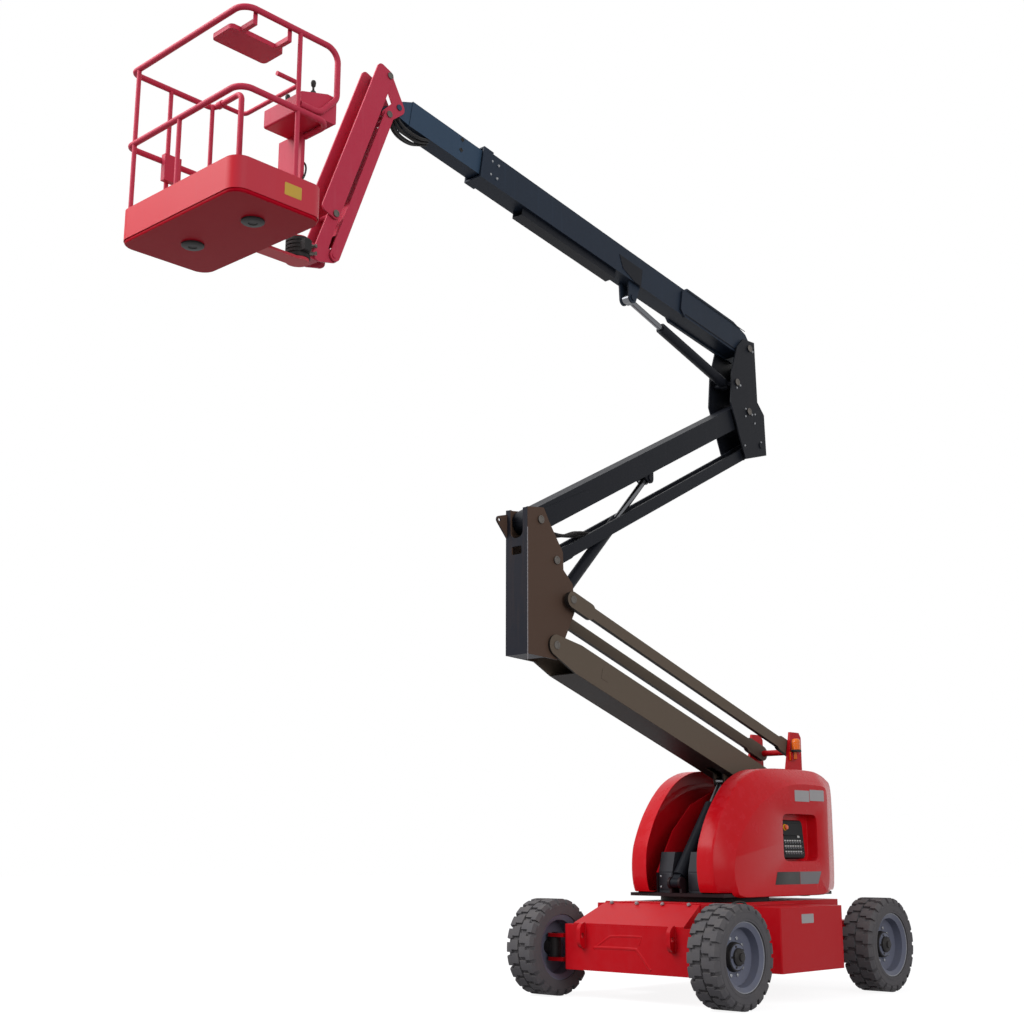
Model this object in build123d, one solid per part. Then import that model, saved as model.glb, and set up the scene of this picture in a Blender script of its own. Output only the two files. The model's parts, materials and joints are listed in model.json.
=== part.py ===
from build123d import *
from math import atan2, cos, degrees, hypot, pi, radians, sin
import os

# Articulating boom lift with a double parallelogram riser, a telescopic main boom and a jib.
# Millimetres. +X is the steered end, +Y the machine's left side, +Z up, and the wheels stand on Z = 0.
# The model is drawn with the slew axis at X = 0 and moved at the end, so that the origin lies on the
# ground in the middle of the whole machine's box.

# ---- general clearances ----
PIN_GAP = 0.3          # radial clearance of every pin in its bore
SIDE_GAP = 5.0         # side clearance between an eye and the plates beside it
SEAT_GAP = 0.3         # clearance of a piece that sits against another body

# ---- wheels and axles ----
WHEELBASE = 2020.0
OVERALL_WIDTH = 1934.0     # over the tyres
TYRE_DIAMETER = 710.0      # over the lugs
TYRE_WIDTH = 260.0
LUG_HEIGHT = 18.0
LUG_COUNT = 22             # lugs in each of a tyre's two rows
LUG_LENGTH = 72.0          # along the tread
LUG_STEP = 20.0            # how far a lug's outer half is set on along the tread
RIM_WELL = 200.0           # inside radius of the rim's barrel
RIM_WALL = 9.0
FLANGE_RADIUS = 240.0      # outside of the rim's bright lip
RIM_INSET = 12.0           # rim edge inside the tyre's side face
WHEEL_DISC = 8.0           # the wheel disc's inner face, outwards from the tyre's middle plane
HUB_RADIUS = 92.0
HUB_HEIGHT = 40.0
SPINDLE_RADIUS = 30.0
STEER_LIMIT = 35.0

# ---- chassis ----
FRONT_OVERHANG = 90.0      # from the front axle to the beam's front face
REAR_OVERHANG = 70.0       # from the rear axle to the frame's rear end
BEAM_DEPTH = 180.0         # fore and aft size of the front beam
BEAM_INSET = 187.0         # from the tyre's middle plane inwards to the ends of both beams
BEAM_CHAMFER = 60.0
BEAM_WALL = 12.0
CHASSIS_BOTTOM = 205.0
FRONT_TOP = 530.0          # top of the front beam, below the sloping hood
FRAME_HALF_WIDTH = 450.0
FRAME_WALL = 10.0
DECK_TOP = 690.0
HOOD_REAR = 800.0          # where the hood meets the level deck
HOOD_FRONT_HALF = 510.0
HOOD_REAR_HALF = 440.0
HOOD_WALL = 5.0
SIDE_BOX_REAR = -455.0
SIDE_BOX_FRONT = 405.0
SIDE_BOX_OUTER = 860.0     # distance of the box's outer face from the middle plane
SIDE_BOX_BOTTOM = 205.0
SIDE_BOX_TOP = 665.0
SIDE_BOX_WALL = 5.0
KINGPIN_RADIUS = 22.0
KINGPIN_INSET = 57.0       # from the tyre's middle plane inwards to the kingpin
ARM_HALF_WIDTH = 55.0
ARM_PLATE = 25.0
ARM_HALF_HEIGHT = 100.0
REAR_DRIVE_RADIUS = 105.0
LUG_PLATE = 34.0           # thickness of a tie-down lug
LUG_RADIUS = 62.0
LUG_RISE = 190.0           # height of a tie-down lug
LUG_BORE = 20.0            # radius of the tie-down hole
LUG_SPACING = 832.0
LUG_LEVEL = 455.0

# ---- turntable ----
RING_RADIUS = 420.0
RING_BORE = 340.0
DECK_BOTTOM = 730.0
DECK_PLATE = 25.0
DECK_FRONT = 500.0
DECK_REAR = 1010.0
DECK_HALF_WIDTH = 440.0
WALL_INNER = 205.0         # inner face of the turntable's upright side walls
WALL_PLATE = 10.0
TOWER_HALF_WIDTH = 200.0
WALL_NOSE = 150.0          # height of the slot walls at the front of the deck
TOWER_PLATE = 20.0
TOWER_REAR = 1030.0
TOWER_TOP = 2040.0
COVER_INNER = 240.0
COVER_OUTER = 470.0
COVER_FRONT = 540.0
COVER_REAR = 1060.0
COVER_REAR_TOP = 865.0
COVER_BOTTOM = 760.0
COVER_NOSE = 930.0         # level where the front arc starts
COVER_TOP = 1595.0
COVER_CREST = -420.0       # where the front arc reaches the top
COVER_BEVEL = 78.0         # depth of the bevel round the outer face
BEVEL_FRONT = 165.0        # width of that bevel along the front arc
BEVEL_TOP = 105.0
BEVEL_BACK = 60.0
BEVEL_FOOT = 45.0
NICHE_REAR = -762.0        # ground control niche in the left cover
NICHE_FRONT = -565.0
NICHE_LOW = 975.0
NICHE_HIGH = 1345.0
NICHE_DEPTH = 95.0
NICHE_RADIUS = 25.0
COVER_WALL = 6.0
COVER_SWING = 60.0
HINGE_RADIUS = 9.0

# ---- lower parallelogram ----
LOWER_REAR = (-832.0, 1544.0)
LOWER_LENGTH = 2981.4
LOWER_ANGLE = 18.4
LOWER_RANGE = (-17.0, 42.0)
LOWER_DEPTH = 220.0
LOWER_HALF_WIDTH = 125.0
LOWER_WALL = 7.0
LOWER_FORK = 250.0         # clear length of the front fork behind its pin
FORK_PLATE = 15.0
LINK_OFFSET = (-132.0, 337.0)      # link pin from the boom pin, the same at both ends
LINK_DEPTH = 86.0
LINK_INNER = 135.0
LINK_THICKNESS = 35.0
LINK_END_DEPTH = 120.0
PIN_RADIUS = 25.0
EYE_RADIUS = 75.0
EYE_PIN = 20.0             # radius of the lift cylinders' own pins
EYE_HALF_WIDTH = 33.0      # of a cylinder's eye
LUG_INNER = 38.0           # inner face of the plates that hold a cylinder's eye
LUG_THICKNESS = 14.0
LOWER_CYLINDER_BASE = (490.0, 830.0)
LOWER_EYE = (673.0, -153.0)        # rod eye along and across the lower boom
SLOT_HALF_WIDTH = 37.0             # slot in a boom's bottom plate that the rod eye works in
LOWER_SLOT = (-60.0, 200.0)        # ends of the slot from the rod eye

# ---- mid upright and riser parallelogram ----
MID_HALF_WIDTH = 105.0
MID_PLATE = 12.0
MID_FRONT = 286.0          # front face of the upright ahead of the lower boom pin
MOUTH_WIDTH = 118.0        # cut-out at the top of the upright's front plate
MOUTH_DEPTH = 215.0
EAR_REACH = 78.0           # ear's eye ahead of the front plate
RISER_OFFSET = (150.0, 890.0)      # riser boom pin from the lower boom pin
RISER_LINK_OFFSET = (-169.0, -272.0)
RISER_LENGTH = 3040.0
RISER_ANGLE = 27.6
RISER_RANGE = (-25.0, 42.0)
RISER_DEPTH = 174.0
RISER_HALF_WIDTH = 87.0
RISER_WALL = 6.0
RISER_LINK_DEPTH = 92.0
RISER_LINK_INNER = 55.0
RISER_LINK_THICKNESS = 25.0
RISER_LINK_END = 104.0
RISER_EYE = (1478.0, 124.0)        # rod eye along and below the riser boom
RISER_SLOT = (-230.0, 110.0)

# ---- upper upright and main boom ----
UPPER_HALF_WIDTH = 120.0
UPPER_PLATE = 12.0
MAIN_OFFSET = (-43.0, 587.0)       # main boom pin from the riser boom pin
MAIN_ANGLE = 9.3
MAIN_RANGE = (-14.0, 65.0)
MAIN_RISE = 41.0                   # middle line of the boom above its pin
OUTER_LENGTH = 3381.0
OUTER_DEPTH = 240.0
OUTER_HALF_WIDTH = 75.0
OUTER_WALL = 6.0
COLLAR_LENGTH = 100.0
COLLAR_GROWTH = 8.0
ROOT_LENGTH = 900.0
ROOT_PLATE = 18.0
MAIN_CYLINDER_BASE = (210.0, -360.0)   # base pin from the main boom pin
MAIN_EYE = (1538.0, -201.0)        # rod eye along and across the main boom from its pin
FLY_DEPTH = 200.0
FLY_HALF_WIDTH = 60.0
FLY_WALL = 5.0
FLY_LENGTH = 2800.0
TRAY_MIDDLE = 2330.0               # middle of the hose tray from the main boom pin
TRAY_LENGTH = 1110.0
FLY_REACH = 4080.0                 # front of the fly's box section from the main boom pin, at rest
TELESCOPE_RANGE = (-0.45, 1.4)     # metres
NOSE_OFFSET = (4202.0, -30.0)      # nose pin from the main boom pin along the boom, and off its middle line
NOSE_HALF_WIDTH = 52.0

# ---- jib ----
JIB_BASE_PIN = (105.0, -98.0)      # lower arm pin from the nose pin
JIB_PIN_RISE = (0.0, 290.0)        # upper arm pin from the lower arm pin
JIB_LENGTH = 1250.0
JIB_ANGLE = -69.3
JIB_RANGE = (-3.0, 130.0)
JIB_BELOW = 35.0                   # arm depth on the pin line's inner side
JIB_UPPER_ABOVE = 115.0            # channel depth on the outer side of its pin line
JIB_LOWER_ABOVE = 45.0
JIB_ARM_INNER = 76.0
JIB_ARM_PLATE = 12.0
JIB_LINK_INNER = 58.0
JIB_LINK_PLATE = 12.0
JIB_WEB = 6.0
JIB_WEB_START = 150.0
JIB_PIN_RADIUS = 18.0
NOSE_PIN_RADIUS = 22.0

# ---- platform ----
ROTATOR_REACH = 228.0              # rotator axis ahead of the lower jib pin
ROTATOR_DROP = 8.0                 # rotator's middle below the lower jib pin
ROTATOR_RADIUS = 80.0
ROTATOR_HEIGHT = 130.0
PLATFORM_GAP = 274.0               # platform's rear edge ahead of the rotator axis
PLATFORM_DEPTH = 657.0
PLATFORM_WIDTH = 1198.0
PLATFORM_DROP = 78.0               # underside of the platform below the lower jib pin
TOE_HEIGHT = 200.0
TOE_WALL = 4.0
FLOOR_RISE = 80.0
CORNER_RADIUS = 95.0
RAIL_TUBE = 19.0           # radius of the guard rail tube
RAIL_TOP = 1172.0          # top of the guard rail above the platform's underside
MID_RAIL = 640.0           # middle of the mid rail above the platform's underside
RAIL_BEND = 90.0           # bend radius of the rails at the left corners
RIGHT_BEND = 50.0
POST_TUBE = 14.5
RAIL_OVERHANG = 95.0       # how far the left top rail passes the rear rail
RAIL_CURL = (330.0, 470.0, 130.0)      # its first and second drop, and the run of the slanted piece between
ENTRY_POST = -270.0        # post beside the entry, off the middle plane
POSTS = (                  # distance ahead of the rear rail, off the middle plane, 1 for up to the top rail
    (619.0, -504.0, 1),
    (619.0, -20.0, 0),
    (200.0, 580.0, 1),
    (330.0, -580.0, 1),
    (25.0, -555.0, 1),
)
SHELF_REAR = 205.0         # shelf under the top rail, ahead of the rear rail
SHELF_RIGHT = 235.0        # its right edge from the middle plane
SHELF_WIDTH = 200.0
SHELF_DROP = 84.0          # its underside below the middle of the top rail
SHELF_RIM = 30.0
SHELF_SHEET = 3.0
CONSOLE_REAR = -110.0      # console from the rear rail
CONSOLE_FRONT = 165.0
CONSOLE_RIGHT = 205.0      # its right face from the middle plane
CONSOLE_LOW = 24.0         # its underside above the middle of the mid rail
CONSOLE_HEIGHT = 120.0     # of its front face, with the panel rising to the rear
CONSOLE_SLOPE = 60.0
STAND_RIGHT = 120.0        # console stand behind the toe band
STAND_LEFT = 345.0
STAND_DEPTH = 28.0
DOCUMENT_REAR = 262.0      # document box on the right mid rail, ahead of the rear rail
DOCUMENT_FRONT = 385.0
DOCUMENT_HEIGHT = 180.0
DOCUMENT_DEPTH = 40.0
ENTRY_BAR_REACH = 190.0    # how far the entry bar stands out behind the rear rail
ENTRY_BAR_TUBE = 15.0
ENTRY_BAR_LEFT = 95.0      # its left end from the middle plane
ENTRY_ARM = -500.0         # its arm on the top rail, from the middle plane
ENTRY_SLEEVE = 48.0
ENTRY_SWING = 75.0
ROTATE_LIMIT = 80.0

HALF_TRACK = OVERALL_WIDTH / 2 - TYRE_WIDTH / 2
BEAM_HALF_WIDTH = HALF_TRACK - BEAM_INSET
KINGPIN_OFFSET = HALF_TRACK - KINGPIN_INSET
CHASSIS_FRONT = WHEELBASE / 2 + FRONT_OVERHANG
CHASSIS_REAR = WHEELBASE / 2 + REAR_OVERHANG
WHEEL_Z = TYRE_DIAMETER / 2


def step(point, offset):
    """Return the point moved by an (x, z) offset."""
    return (point[0] + offset[0], point[1] + offset[1])


def polar(point, length, angle):
    """Return the point a length away in the XZ plane, at an angle in degrees above +X."""
    return (point[0] + length * cos(radians(angle)), point[1] + length * sin(radians(angle)))


def place(origin, angle, offset):
    """Return the point at an offset along and across a line that leaves the origin at an angle."""
    return polar(polar(origin, offset[0], angle), offset[1], angle + 90)


def heading(start, end):
    """Return the angle in degrees above +X of the line from start to end."""
    return degrees(atan2(end[1] - start[1], end[0] - start[0]))


# ---- pins, worked out from the sizes above, as (x, z) ----
LOWER_FRONT = polar(LOWER_REAR, LOWER_LENGTH, LOWER_ANGLE)
LINK_REAR = step(LOWER_REAR, LINK_OFFSET)
LINK_FRONT = step(LOWER_FRONT, LINK_OFFSET)
RISER_FRONT = step(LOWER_FRONT, RISER_OFFSET)
RISER_LINK_FRONT = step(RISER_FRONT, RISER_LINK_OFFSET)
RISER_REAR = polar(RISER_FRONT, RISER_LENGTH, 180 - RISER_ANGLE)
RISER_LINK_REAR = step(RISER_REAR, RISER_LINK_OFFSET)
MAIN_PIN = step(RISER_REAR, MAIN_OFFSET)
MAIN_LINE = polar(MAIN_PIN, MAIN_RISE, MAIN_ANGLE + 90)
NOSE_PIN = place(MAIN_LINE, MAIN_ANGLE, NOSE_OFFSET)
JIB_LOW_REAR = step(NOSE_PIN, JIB_BASE_PIN)
JIB_UP_REAR = step(JIB_LOW_REAR, JIB_PIN_RISE)
JIB_LOW_FRONT = polar(JIB_LOW_REAR, JIB_LENGTH, JIB_ANGLE)
JIB_UP_FRONT = step(JIB_LOW_FRONT, JIB_PIN_RISE)
ROTATOR_AXIS = JIB_LOW_FRONT[0] + ROTATOR_REACH
ROTATOR_LEVEL = JIB_LOW_FRONT[1] - ROTATOR_DROP
PLATFORM_BOTTOM = JIB_LOW_FRONT[1] - PLATFORM_DROP
PLATFORM_REAR = ROTATOR_AXIS + PLATFORM_GAP
RAIL_REAR = PLATFORM_REAR + RAIL_TUBE
RAIL_FRONT = PLATFORM_REAR + PLATFORM_DEPTH - RAIL_TUBE
RAIL_SIDE = PLATFORM_WIDTH / 2 - RAIL_TUBE
TOP_LEVEL = PLATFORM_BOTTOM + RAIL_TOP - RAIL_TUBE
MID_LEVEL = PLATFORM_BOTTOM + MID_RAIL
FLOOR_LEVEL = PLATFORM_BOTTOM + FLOOR_RISE

# ---- lift cylinders: base pin on the carrying piece and rod eye on the boom ----
LOWER_CYLINDER = (LOWER_CYLINDER_BASE, place(LOWER_REAR, LOWER_ANGLE, LOWER_EYE))
RISER_CYLINDER = (LINK_FRONT, place(RISER_FRONT, 180 - RISER_ANGLE, RISER_EYE))
MAIN_CYLINDER = (step(MAIN_PIN, MAIN_CYLINDER_BASE), place(MAIN_PIN, MAIN_ANGLE, MAIN_EYE))


def side_plane(point=(0.0, 0.0), angle=0.0):
    """Return a plane square to Y whose local x runs at the angle and whose local y is 90 degrees on."""
    return Plane(
        origin=(point[0], 0, point[1]),
        x_dir=(cos(radians(angle)), 0, sin(radians(angle))),
        z_dir=(0, -1, 0),
    )


def slab(sketch, y_low, y_high, plane=None):
    """Extrude a sketch of the side view from y_low to y_high."""
    plane = plane or side_plane()
    return extrude(plane.offset(-y_high) * sketch, y_high - y_low)


def both_sides(sketch, y_inner, y_outer, plane=None):
    """Extrude a sketch of the side view as two equal plates, one on each side of the middle plane."""
    return slab(sketch, y_inner, y_outer, plane) + slab(sketch, -y_outer, -y_inner, plane)


def disc(point, radius):
    """Return a filled circle of the side view."""
    return Pos(point[0], point[1]) * Circle(radius)


def outline(*points):
    """Return a filled polygon of the side view."""
    return make_face(Polyline(*points, close=True))


def pin(point, radius, half_length):
    """Return a pin across the machine."""
    return slab(disc(point, radius), -half_length, half_length)


def bar_outline(start, end, half_depth):
    """Return the round-ended outline of a bar between two pins."""
    middle = ((start[0] + end[0]) / 2, (start[1] + end[1]) / 2)
    length = hypot(end[0] - start[0], end[1] - start[1])
    return Pos(*middle) * Rot(0, 0, heading(start, end)) * SlotCenterToCenter(length, 2 * half_depth)


def box_section(plane, start, end, depth, half_width, wall):
    """Return a hollow rectangular beam open at both ends, along the local x of the plane."""
    length = end - start
    middle = Pos((start + end) / 2, 0)
    outer = slab(middle * Rectangle(length, depth), -half_width, half_width, plane)
    inner = slab(middle * Rectangle(length, depth - 2 * wall), wall - half_width, half_width - wall, plane)
    return outer - inner


PARTS = {}


def keep(name, solid):
    """Store a finished piece under its node name."""
    PARTS[name] = solid


# ============================== chassis ==============================
def chassis_frame():
    """Return the central tub below the slewing ring, open where the beams cross it."""
    rear = -CHASSIS_REAR
    front = CHASSIS_FRONT - BEAM_DEPTH
    profile = outline(
        (rear, CHASSIS_BOTTOM),
        (front, CHASSIS_BOTTOM),
        (front, FRONT_TOP),
        (HOOD_REAR, FRONT_TOP),
        (HOOD_REAR, DECK_TOP),
        (rear, DECK_TOP),
    )
    shell = slab(profile, -FRAME_HALF_WIDTH, FRAME_HALF_WIDTH)
    half = FRAME_HALF_WIDTH - FRAME_WALL
    return shell - slab(offset(profile, -FRAME_WALL, kind=Kind.INTERSECTION), -half, half)


def beam_plan(rear, front):
    """Return the plan outline of a beam with its four corners cut back for the steered wheels."""
    half = BEAM_HALF_WIDTH
    cut = BEAM_CHAMFER
    return make_face(
        Polyline(
            (rear, cut - half),
            (rear + cut, -half),
            (front - cut, -half),
            (front, cut - half),
            (front, half - cut),
            (front - cut, half),
            (rear + cut, half),
            (rear, half - cut),
            close=True,
        )
    )


def front_beam():
    """Return the box beam across the front with its tie-down lugs and the arms that hold the kingpins."""
    rear = CHASSIS_FRONT - BEAM_DEPTH + SEAT_GAP
    plan = beam_plan(rear, CHASSIS_FRONT)
    height = FRONT_TOP - CHASSIS_BOTTOM
    beam = Pos(0, 0, CHASSIS_BOTTOM) * extrude(plan, height)
    hollow = extrude(offset(plan, -BEAM_WALL, kind=Kind.INTERSECTION), height - 2 * BEAM_WALL)
    beam -= Pos(0, 0, CHASSIS_BOTTOM + BEAM_WALL) * hollow
    straight = LUG_RISE - 2 * LUG_RADIUS
    lug = Pos(CHASSIS_FRONT, LUG_LEVEL) * SlotCenterToCenter(straight, 2 * LUG_RADIUS, rotation=90)
    lug &= Pos(CHASSIS_FRONT + LUG_RADIUS, LUG_LEVEL) * Rectangle(2 * LUG_RADIUS, LUG_RISE)
    lug -= disc((CHASSIS_FRONT + LUG_RADIUS / 2, LUG_LEVEL), LUG_BORE)
    for side in (1, -1):
        y = side * LUG_SPACING / 2
        beam += slab(lug, y - LUG_PLATE / 2, y + LUG_PLATE / 2)
    x = WHEELBASE / 2
    arm = Pos(x, 0) * SlotCenterToCenter(2 * KINGPIN_OFFSET, 2 * ARM_HALF_WIDTH, rotation=90)
    arm -= Pos(x, 0) * Rectangle(2 * ARM_HALF_WIDTH + 2, 2 * BEAM_HALF_WIDTH - 2)
    for side in (1, -1):
        arm -= Pos(x, side * KINGPIN_OFFSET) * Circle(KINGPIN_RADIUS + PIN_GAP)
    lift = ARM_HALF_HEIGHT - ARM_PLATE
    beam += Pos(0, 0, WHEEL_Z + lift) * extrude(arm, ARM_PLATE)
    beam += Pos(0, 0, WHEEL_Z - ARM_HALF_HEIGHT) * extrude(arm, ARM_PLATE)
    return beam


def rear_beam():
    """Return the box beam across the rear with the wheel drives on its ends."""
    rear = -WHEELBASE / 2 - BEAM_DEPTH / 2
    height = FRONT_TOP - CHASSIS_BOTTOM
    ends = Part()
    for side in (1, -1):
        width = BEAM_HALF_WIDTH - FRAME_HALF_WIDTH - SEAT_GAP
        y = side * (BEAM_HALF_WIDTH + FRAME_HALF_WIDTH + SEAT_GAP) / 2
        middle = (rear + BEAM_DEPTH / 2, y, CHASSIS_BOTTOM + height / 2)
        ends += Pos(*middle) * Box(BEAM_DEPTH, width, height)
        disc_face = HALF_TRACK + WHEEL_DISC - SEAT_GAP
        reach = disc_face - BEAM_HALF_WIDTH
        drive = Pos(-WHEELBASE / 2, side * (BEAM_HALF_WIDTH + reach / 2), WHEEL_Z) * Rot(90, 0, 0)
        ends += drive * Cylinder(REAR_DRIVE_RADIUS, reach)
        stub = Pos(-WHEELBASE / 2, side * (disc_face + 20), WHEEL_Z) * Rot(90, 0, 0)
        ends += stub * Cylinder(SPINDLE_RADIUS, 40)
    return ends


def chassis_hood():
    """Return the sloping sheet hood between the front beam and the deck, open below."""
    low = FRONT_TOP + SEAT_GAP
    plan = make_face(
        Polyline(
            (CHASSIS_FRONT, -HOOD_FRONT_HALF),
            (CHASSIS_FRONT, HOOD_FRONT_HALF),
            (HOOD_REAR + SEAT_GAP, HOOD_REAR_HALF),
            (HOOD_REAR + SEAT_GAP, -HOOD_REAR_HALF),
            close=True,
        )
    )
    rear = HOOD_REAR + SEAT_GAP
    side = outline((rear, low), (CHASSIS_FRONT, low), (CHASSIS_FRONT, low + 12), (rear, DECK_TOP))
    wedge = slab(side, -HOOD_FRONT_HALF, HOOD_FRONT_HALF) & (Pos(0, 0, low) * extrude(plan, 200))
    thin = Pos(-HOOD_WALL, 0, -HOOD_WALL) * slab(side, -HOOD_FRONT_HALF, HOOD_FRONT_HALF)
    plan_in = offset(plan, -HOOD_WALL, kind=Kind.INTERSECTION)
    return wedge - (thin & (Pos(0, 0, low - 10) * extrude(plan_in, 210)))


def side_box(side):
    inner = FRAME_HALF_WIDTH + SEAT_GAP
    width = SIDE_BOX_OUTER - inner
    length = SIDE_BOX_FRONT - SIDE_BOX_REAR
    height = SIDE_BOX_TOP - SIDE_BOX_BOTTOM
    middle = (SIDE_BOX_REAR + length / 2, side * (inner + width / 2), SIDE_BOX_BOTTOM + height / 2)
    wall = 2 * SIDE_BOX_WALL
    shell = Pos(*middle) * fillet(Box(length, width, height).edges().filter_by(Axis.Z), 12)
    return shell - Pos(*middle) * Box(length - wall, width - wall, height - wall)


def drive_batteries():
    """Return the traction batteries as one plain block in each side box."""
    inner = FRAME_HALF_WIDTH + SEAT_GAP + SIDE_BOX_WALL + 20
    width = SIDE_BOX_OUTER - SIDE_BOX_WALL - 20 - inner
    length = SIDE_BOX_FRONT - SIDE_BOX_REAR - 2 * SIDE_BOX_WALL - 60
    height = 300
    low = SIDE_BOX_BOTTOM + SIDE_BOX_WALL + SEAT_GAP
    packs = Part()
    for side in (1, -1):
        y = side * (inner + width / 2)
        packs += Pos((SIDE_BOX_FRONT + SIDE_BOX_REAR) / 2, y, low + height / 2) * Box(length, width, height)
    return packs


def knuckle(side):
    """Return a steering knuckle between its two arms, with its kingpin and wheel spindle."""
    x = WHEELBASE / 2
    half = ARM_HALF_HEIGHT - ARM_PLATE - 1.5
    body = Pos(x, side * KINGPIN_OFFSET, WHEEL_Z) * Cylinder(46, 2 * half)
    body += Pos(x, side * KINGPIN_OFFSET, WHEEL_Z) * Cylinder(KINGPIN_RADIUS, 2 * ARM_HALF_HEIGHT + 12)
    disc_face = HALF_TRACK + WHEEL_DISC - SEAT_GAP
    reach = disc_face - KINGPIN_OFFSET
    stub = Pos(x, side * (KINGPIN_OFFSET + reach / 2), WHEEL_Z) * Rot(90, 0, 0)
    body += stub * Cylinder(56, reach)
    body += Pos(x, side * (disc_face + 20), WHEEL_Z) * Rot(90, 0, 0) * Cylinder(SPINDLE_RADIUS, 40)
    return body


def rim(x, side):
    """Return a deep-dished wheel: a barrel with flared lips, a disc and a hub."""
    half = TYRE_WIDTH / 2 - RIM_INSET
    seat = RIM_WELL + RIM_WALL
    inner = WHEEL_DISC
    outer = WHEEL_DISC + 14
    profile = Polyline(
        (SPINDLE_RADIUS + PIN_GAP, inner),
        (RIM_WELL, inner),
        (RIM_WELL, 18 - half),
        (FLANGE_RADIUS - 8, -half),
        (FLANGE_RADIUS, -half),
        (FLANGE_RADIUS, 12 - half),
        (seat, 30 - half),
        (seat, half - 30),
        (FLANGE_RADIUS, half - 12),
        (FLANGE_RADIUS, half),
        (FLANGE_RADIUS - 8, half),
        (RIM_WELL, half - 18),
        (RIM_WELL - 8, outer + 20),
        (HUB_RADIUS + 40, outer),
        (HUB_RADIUS, outer),
        (HUB_RADIUS - 6, outer + HUB_HEIGHT),
        (SPINDLE_RADIUS + PIN_GAP, outer + HUB_HEIGHT),
        close=True,
    )
    wheel = revolve(Plane.XY * make_face(profile), Axis.Y)
    wheel = wheel if side > 0 else wheel.mirror(Plane.XZ)
    return Pos(x, side * HALF_TRACK, WHEEL_Z) * wheel


def tyre(x, side):
    """Return a tyre with two staggered rows of lugs."""
    half = TYRE_WIDTH / 2
    rim_half = half - RIM_INSET
    seat = RIM_WELL + RIM_WALL + 0.2
    root = TYRE_DIAMETER / 2 - LUG_HEIGHT
    lip = FLANGE_RADIUS + 2
    profile = Polyline(
        (seat, 31 - rim_half),
        (lip, 12 - rim_half),
        (lip, -half),
        (root - 30, -half),
        (root, 30 - half),
        (root, half - 30),
        (root - 30, half),
        (lip, half),
        (lip, rim_half - 12),
        (seat, rim_half - 31),
        close=True,
    )
    body = revolve(make_face(profile), Axis.Y)
    tread = TYRE_DIAMETER / 2
    block = make_face(
        Polyline(
            (root - 6, 6),
            (tread, 6),
            (tread, half - 16),
            (root - 12, half - 1),
            (root - 36, half - 1),
            close=True,
        )
    )
    arc = degrees(LUG_LENGTH / tread)
    middle_y = (half + 6) / 2
    inner_half = Pos(tread, middle_y / 2) * Rectangle(4 * LUG_HEIGHT, middle_y)
    turn = degrees(LUG_STEP / tread)
    lug = Rot(0, -arc / 2, 0) * revolve(block & inner_half, Axis.Y, revolution_arc=arc)
    lug += Rot(0, turn - arc / 2, 0) * revolve(block - inner_half, Axis.Y, revolution_arc=arc)
    mirrored = lug.mirror(Plane.XZ)
    pitch = 360 / LUG_COUNT
    lugs = []
    for row in (1, -1):
        for k in range(LUG_COUNT):
            lugs.append(Rot(0, pitch * (k + row / 4), 0) * (lug if row > 0 else mirrored))
    body = body + lugs
    return Pos(x, side * HALF_TRACK, WHEEL_Z) * body


# ============================== turntable ==============================
def slew_ring():
    height = DECK_BOTTOM - DECK_TOP - 2 * SEAT_GAP
    ring = Cylinder(RING_RADIUS, height) - Cylinder(RING_BORE, height)
    return Pos(0, 0, (DECK_BOTTOM + DECK_TOP) / 2) * ring


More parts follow.
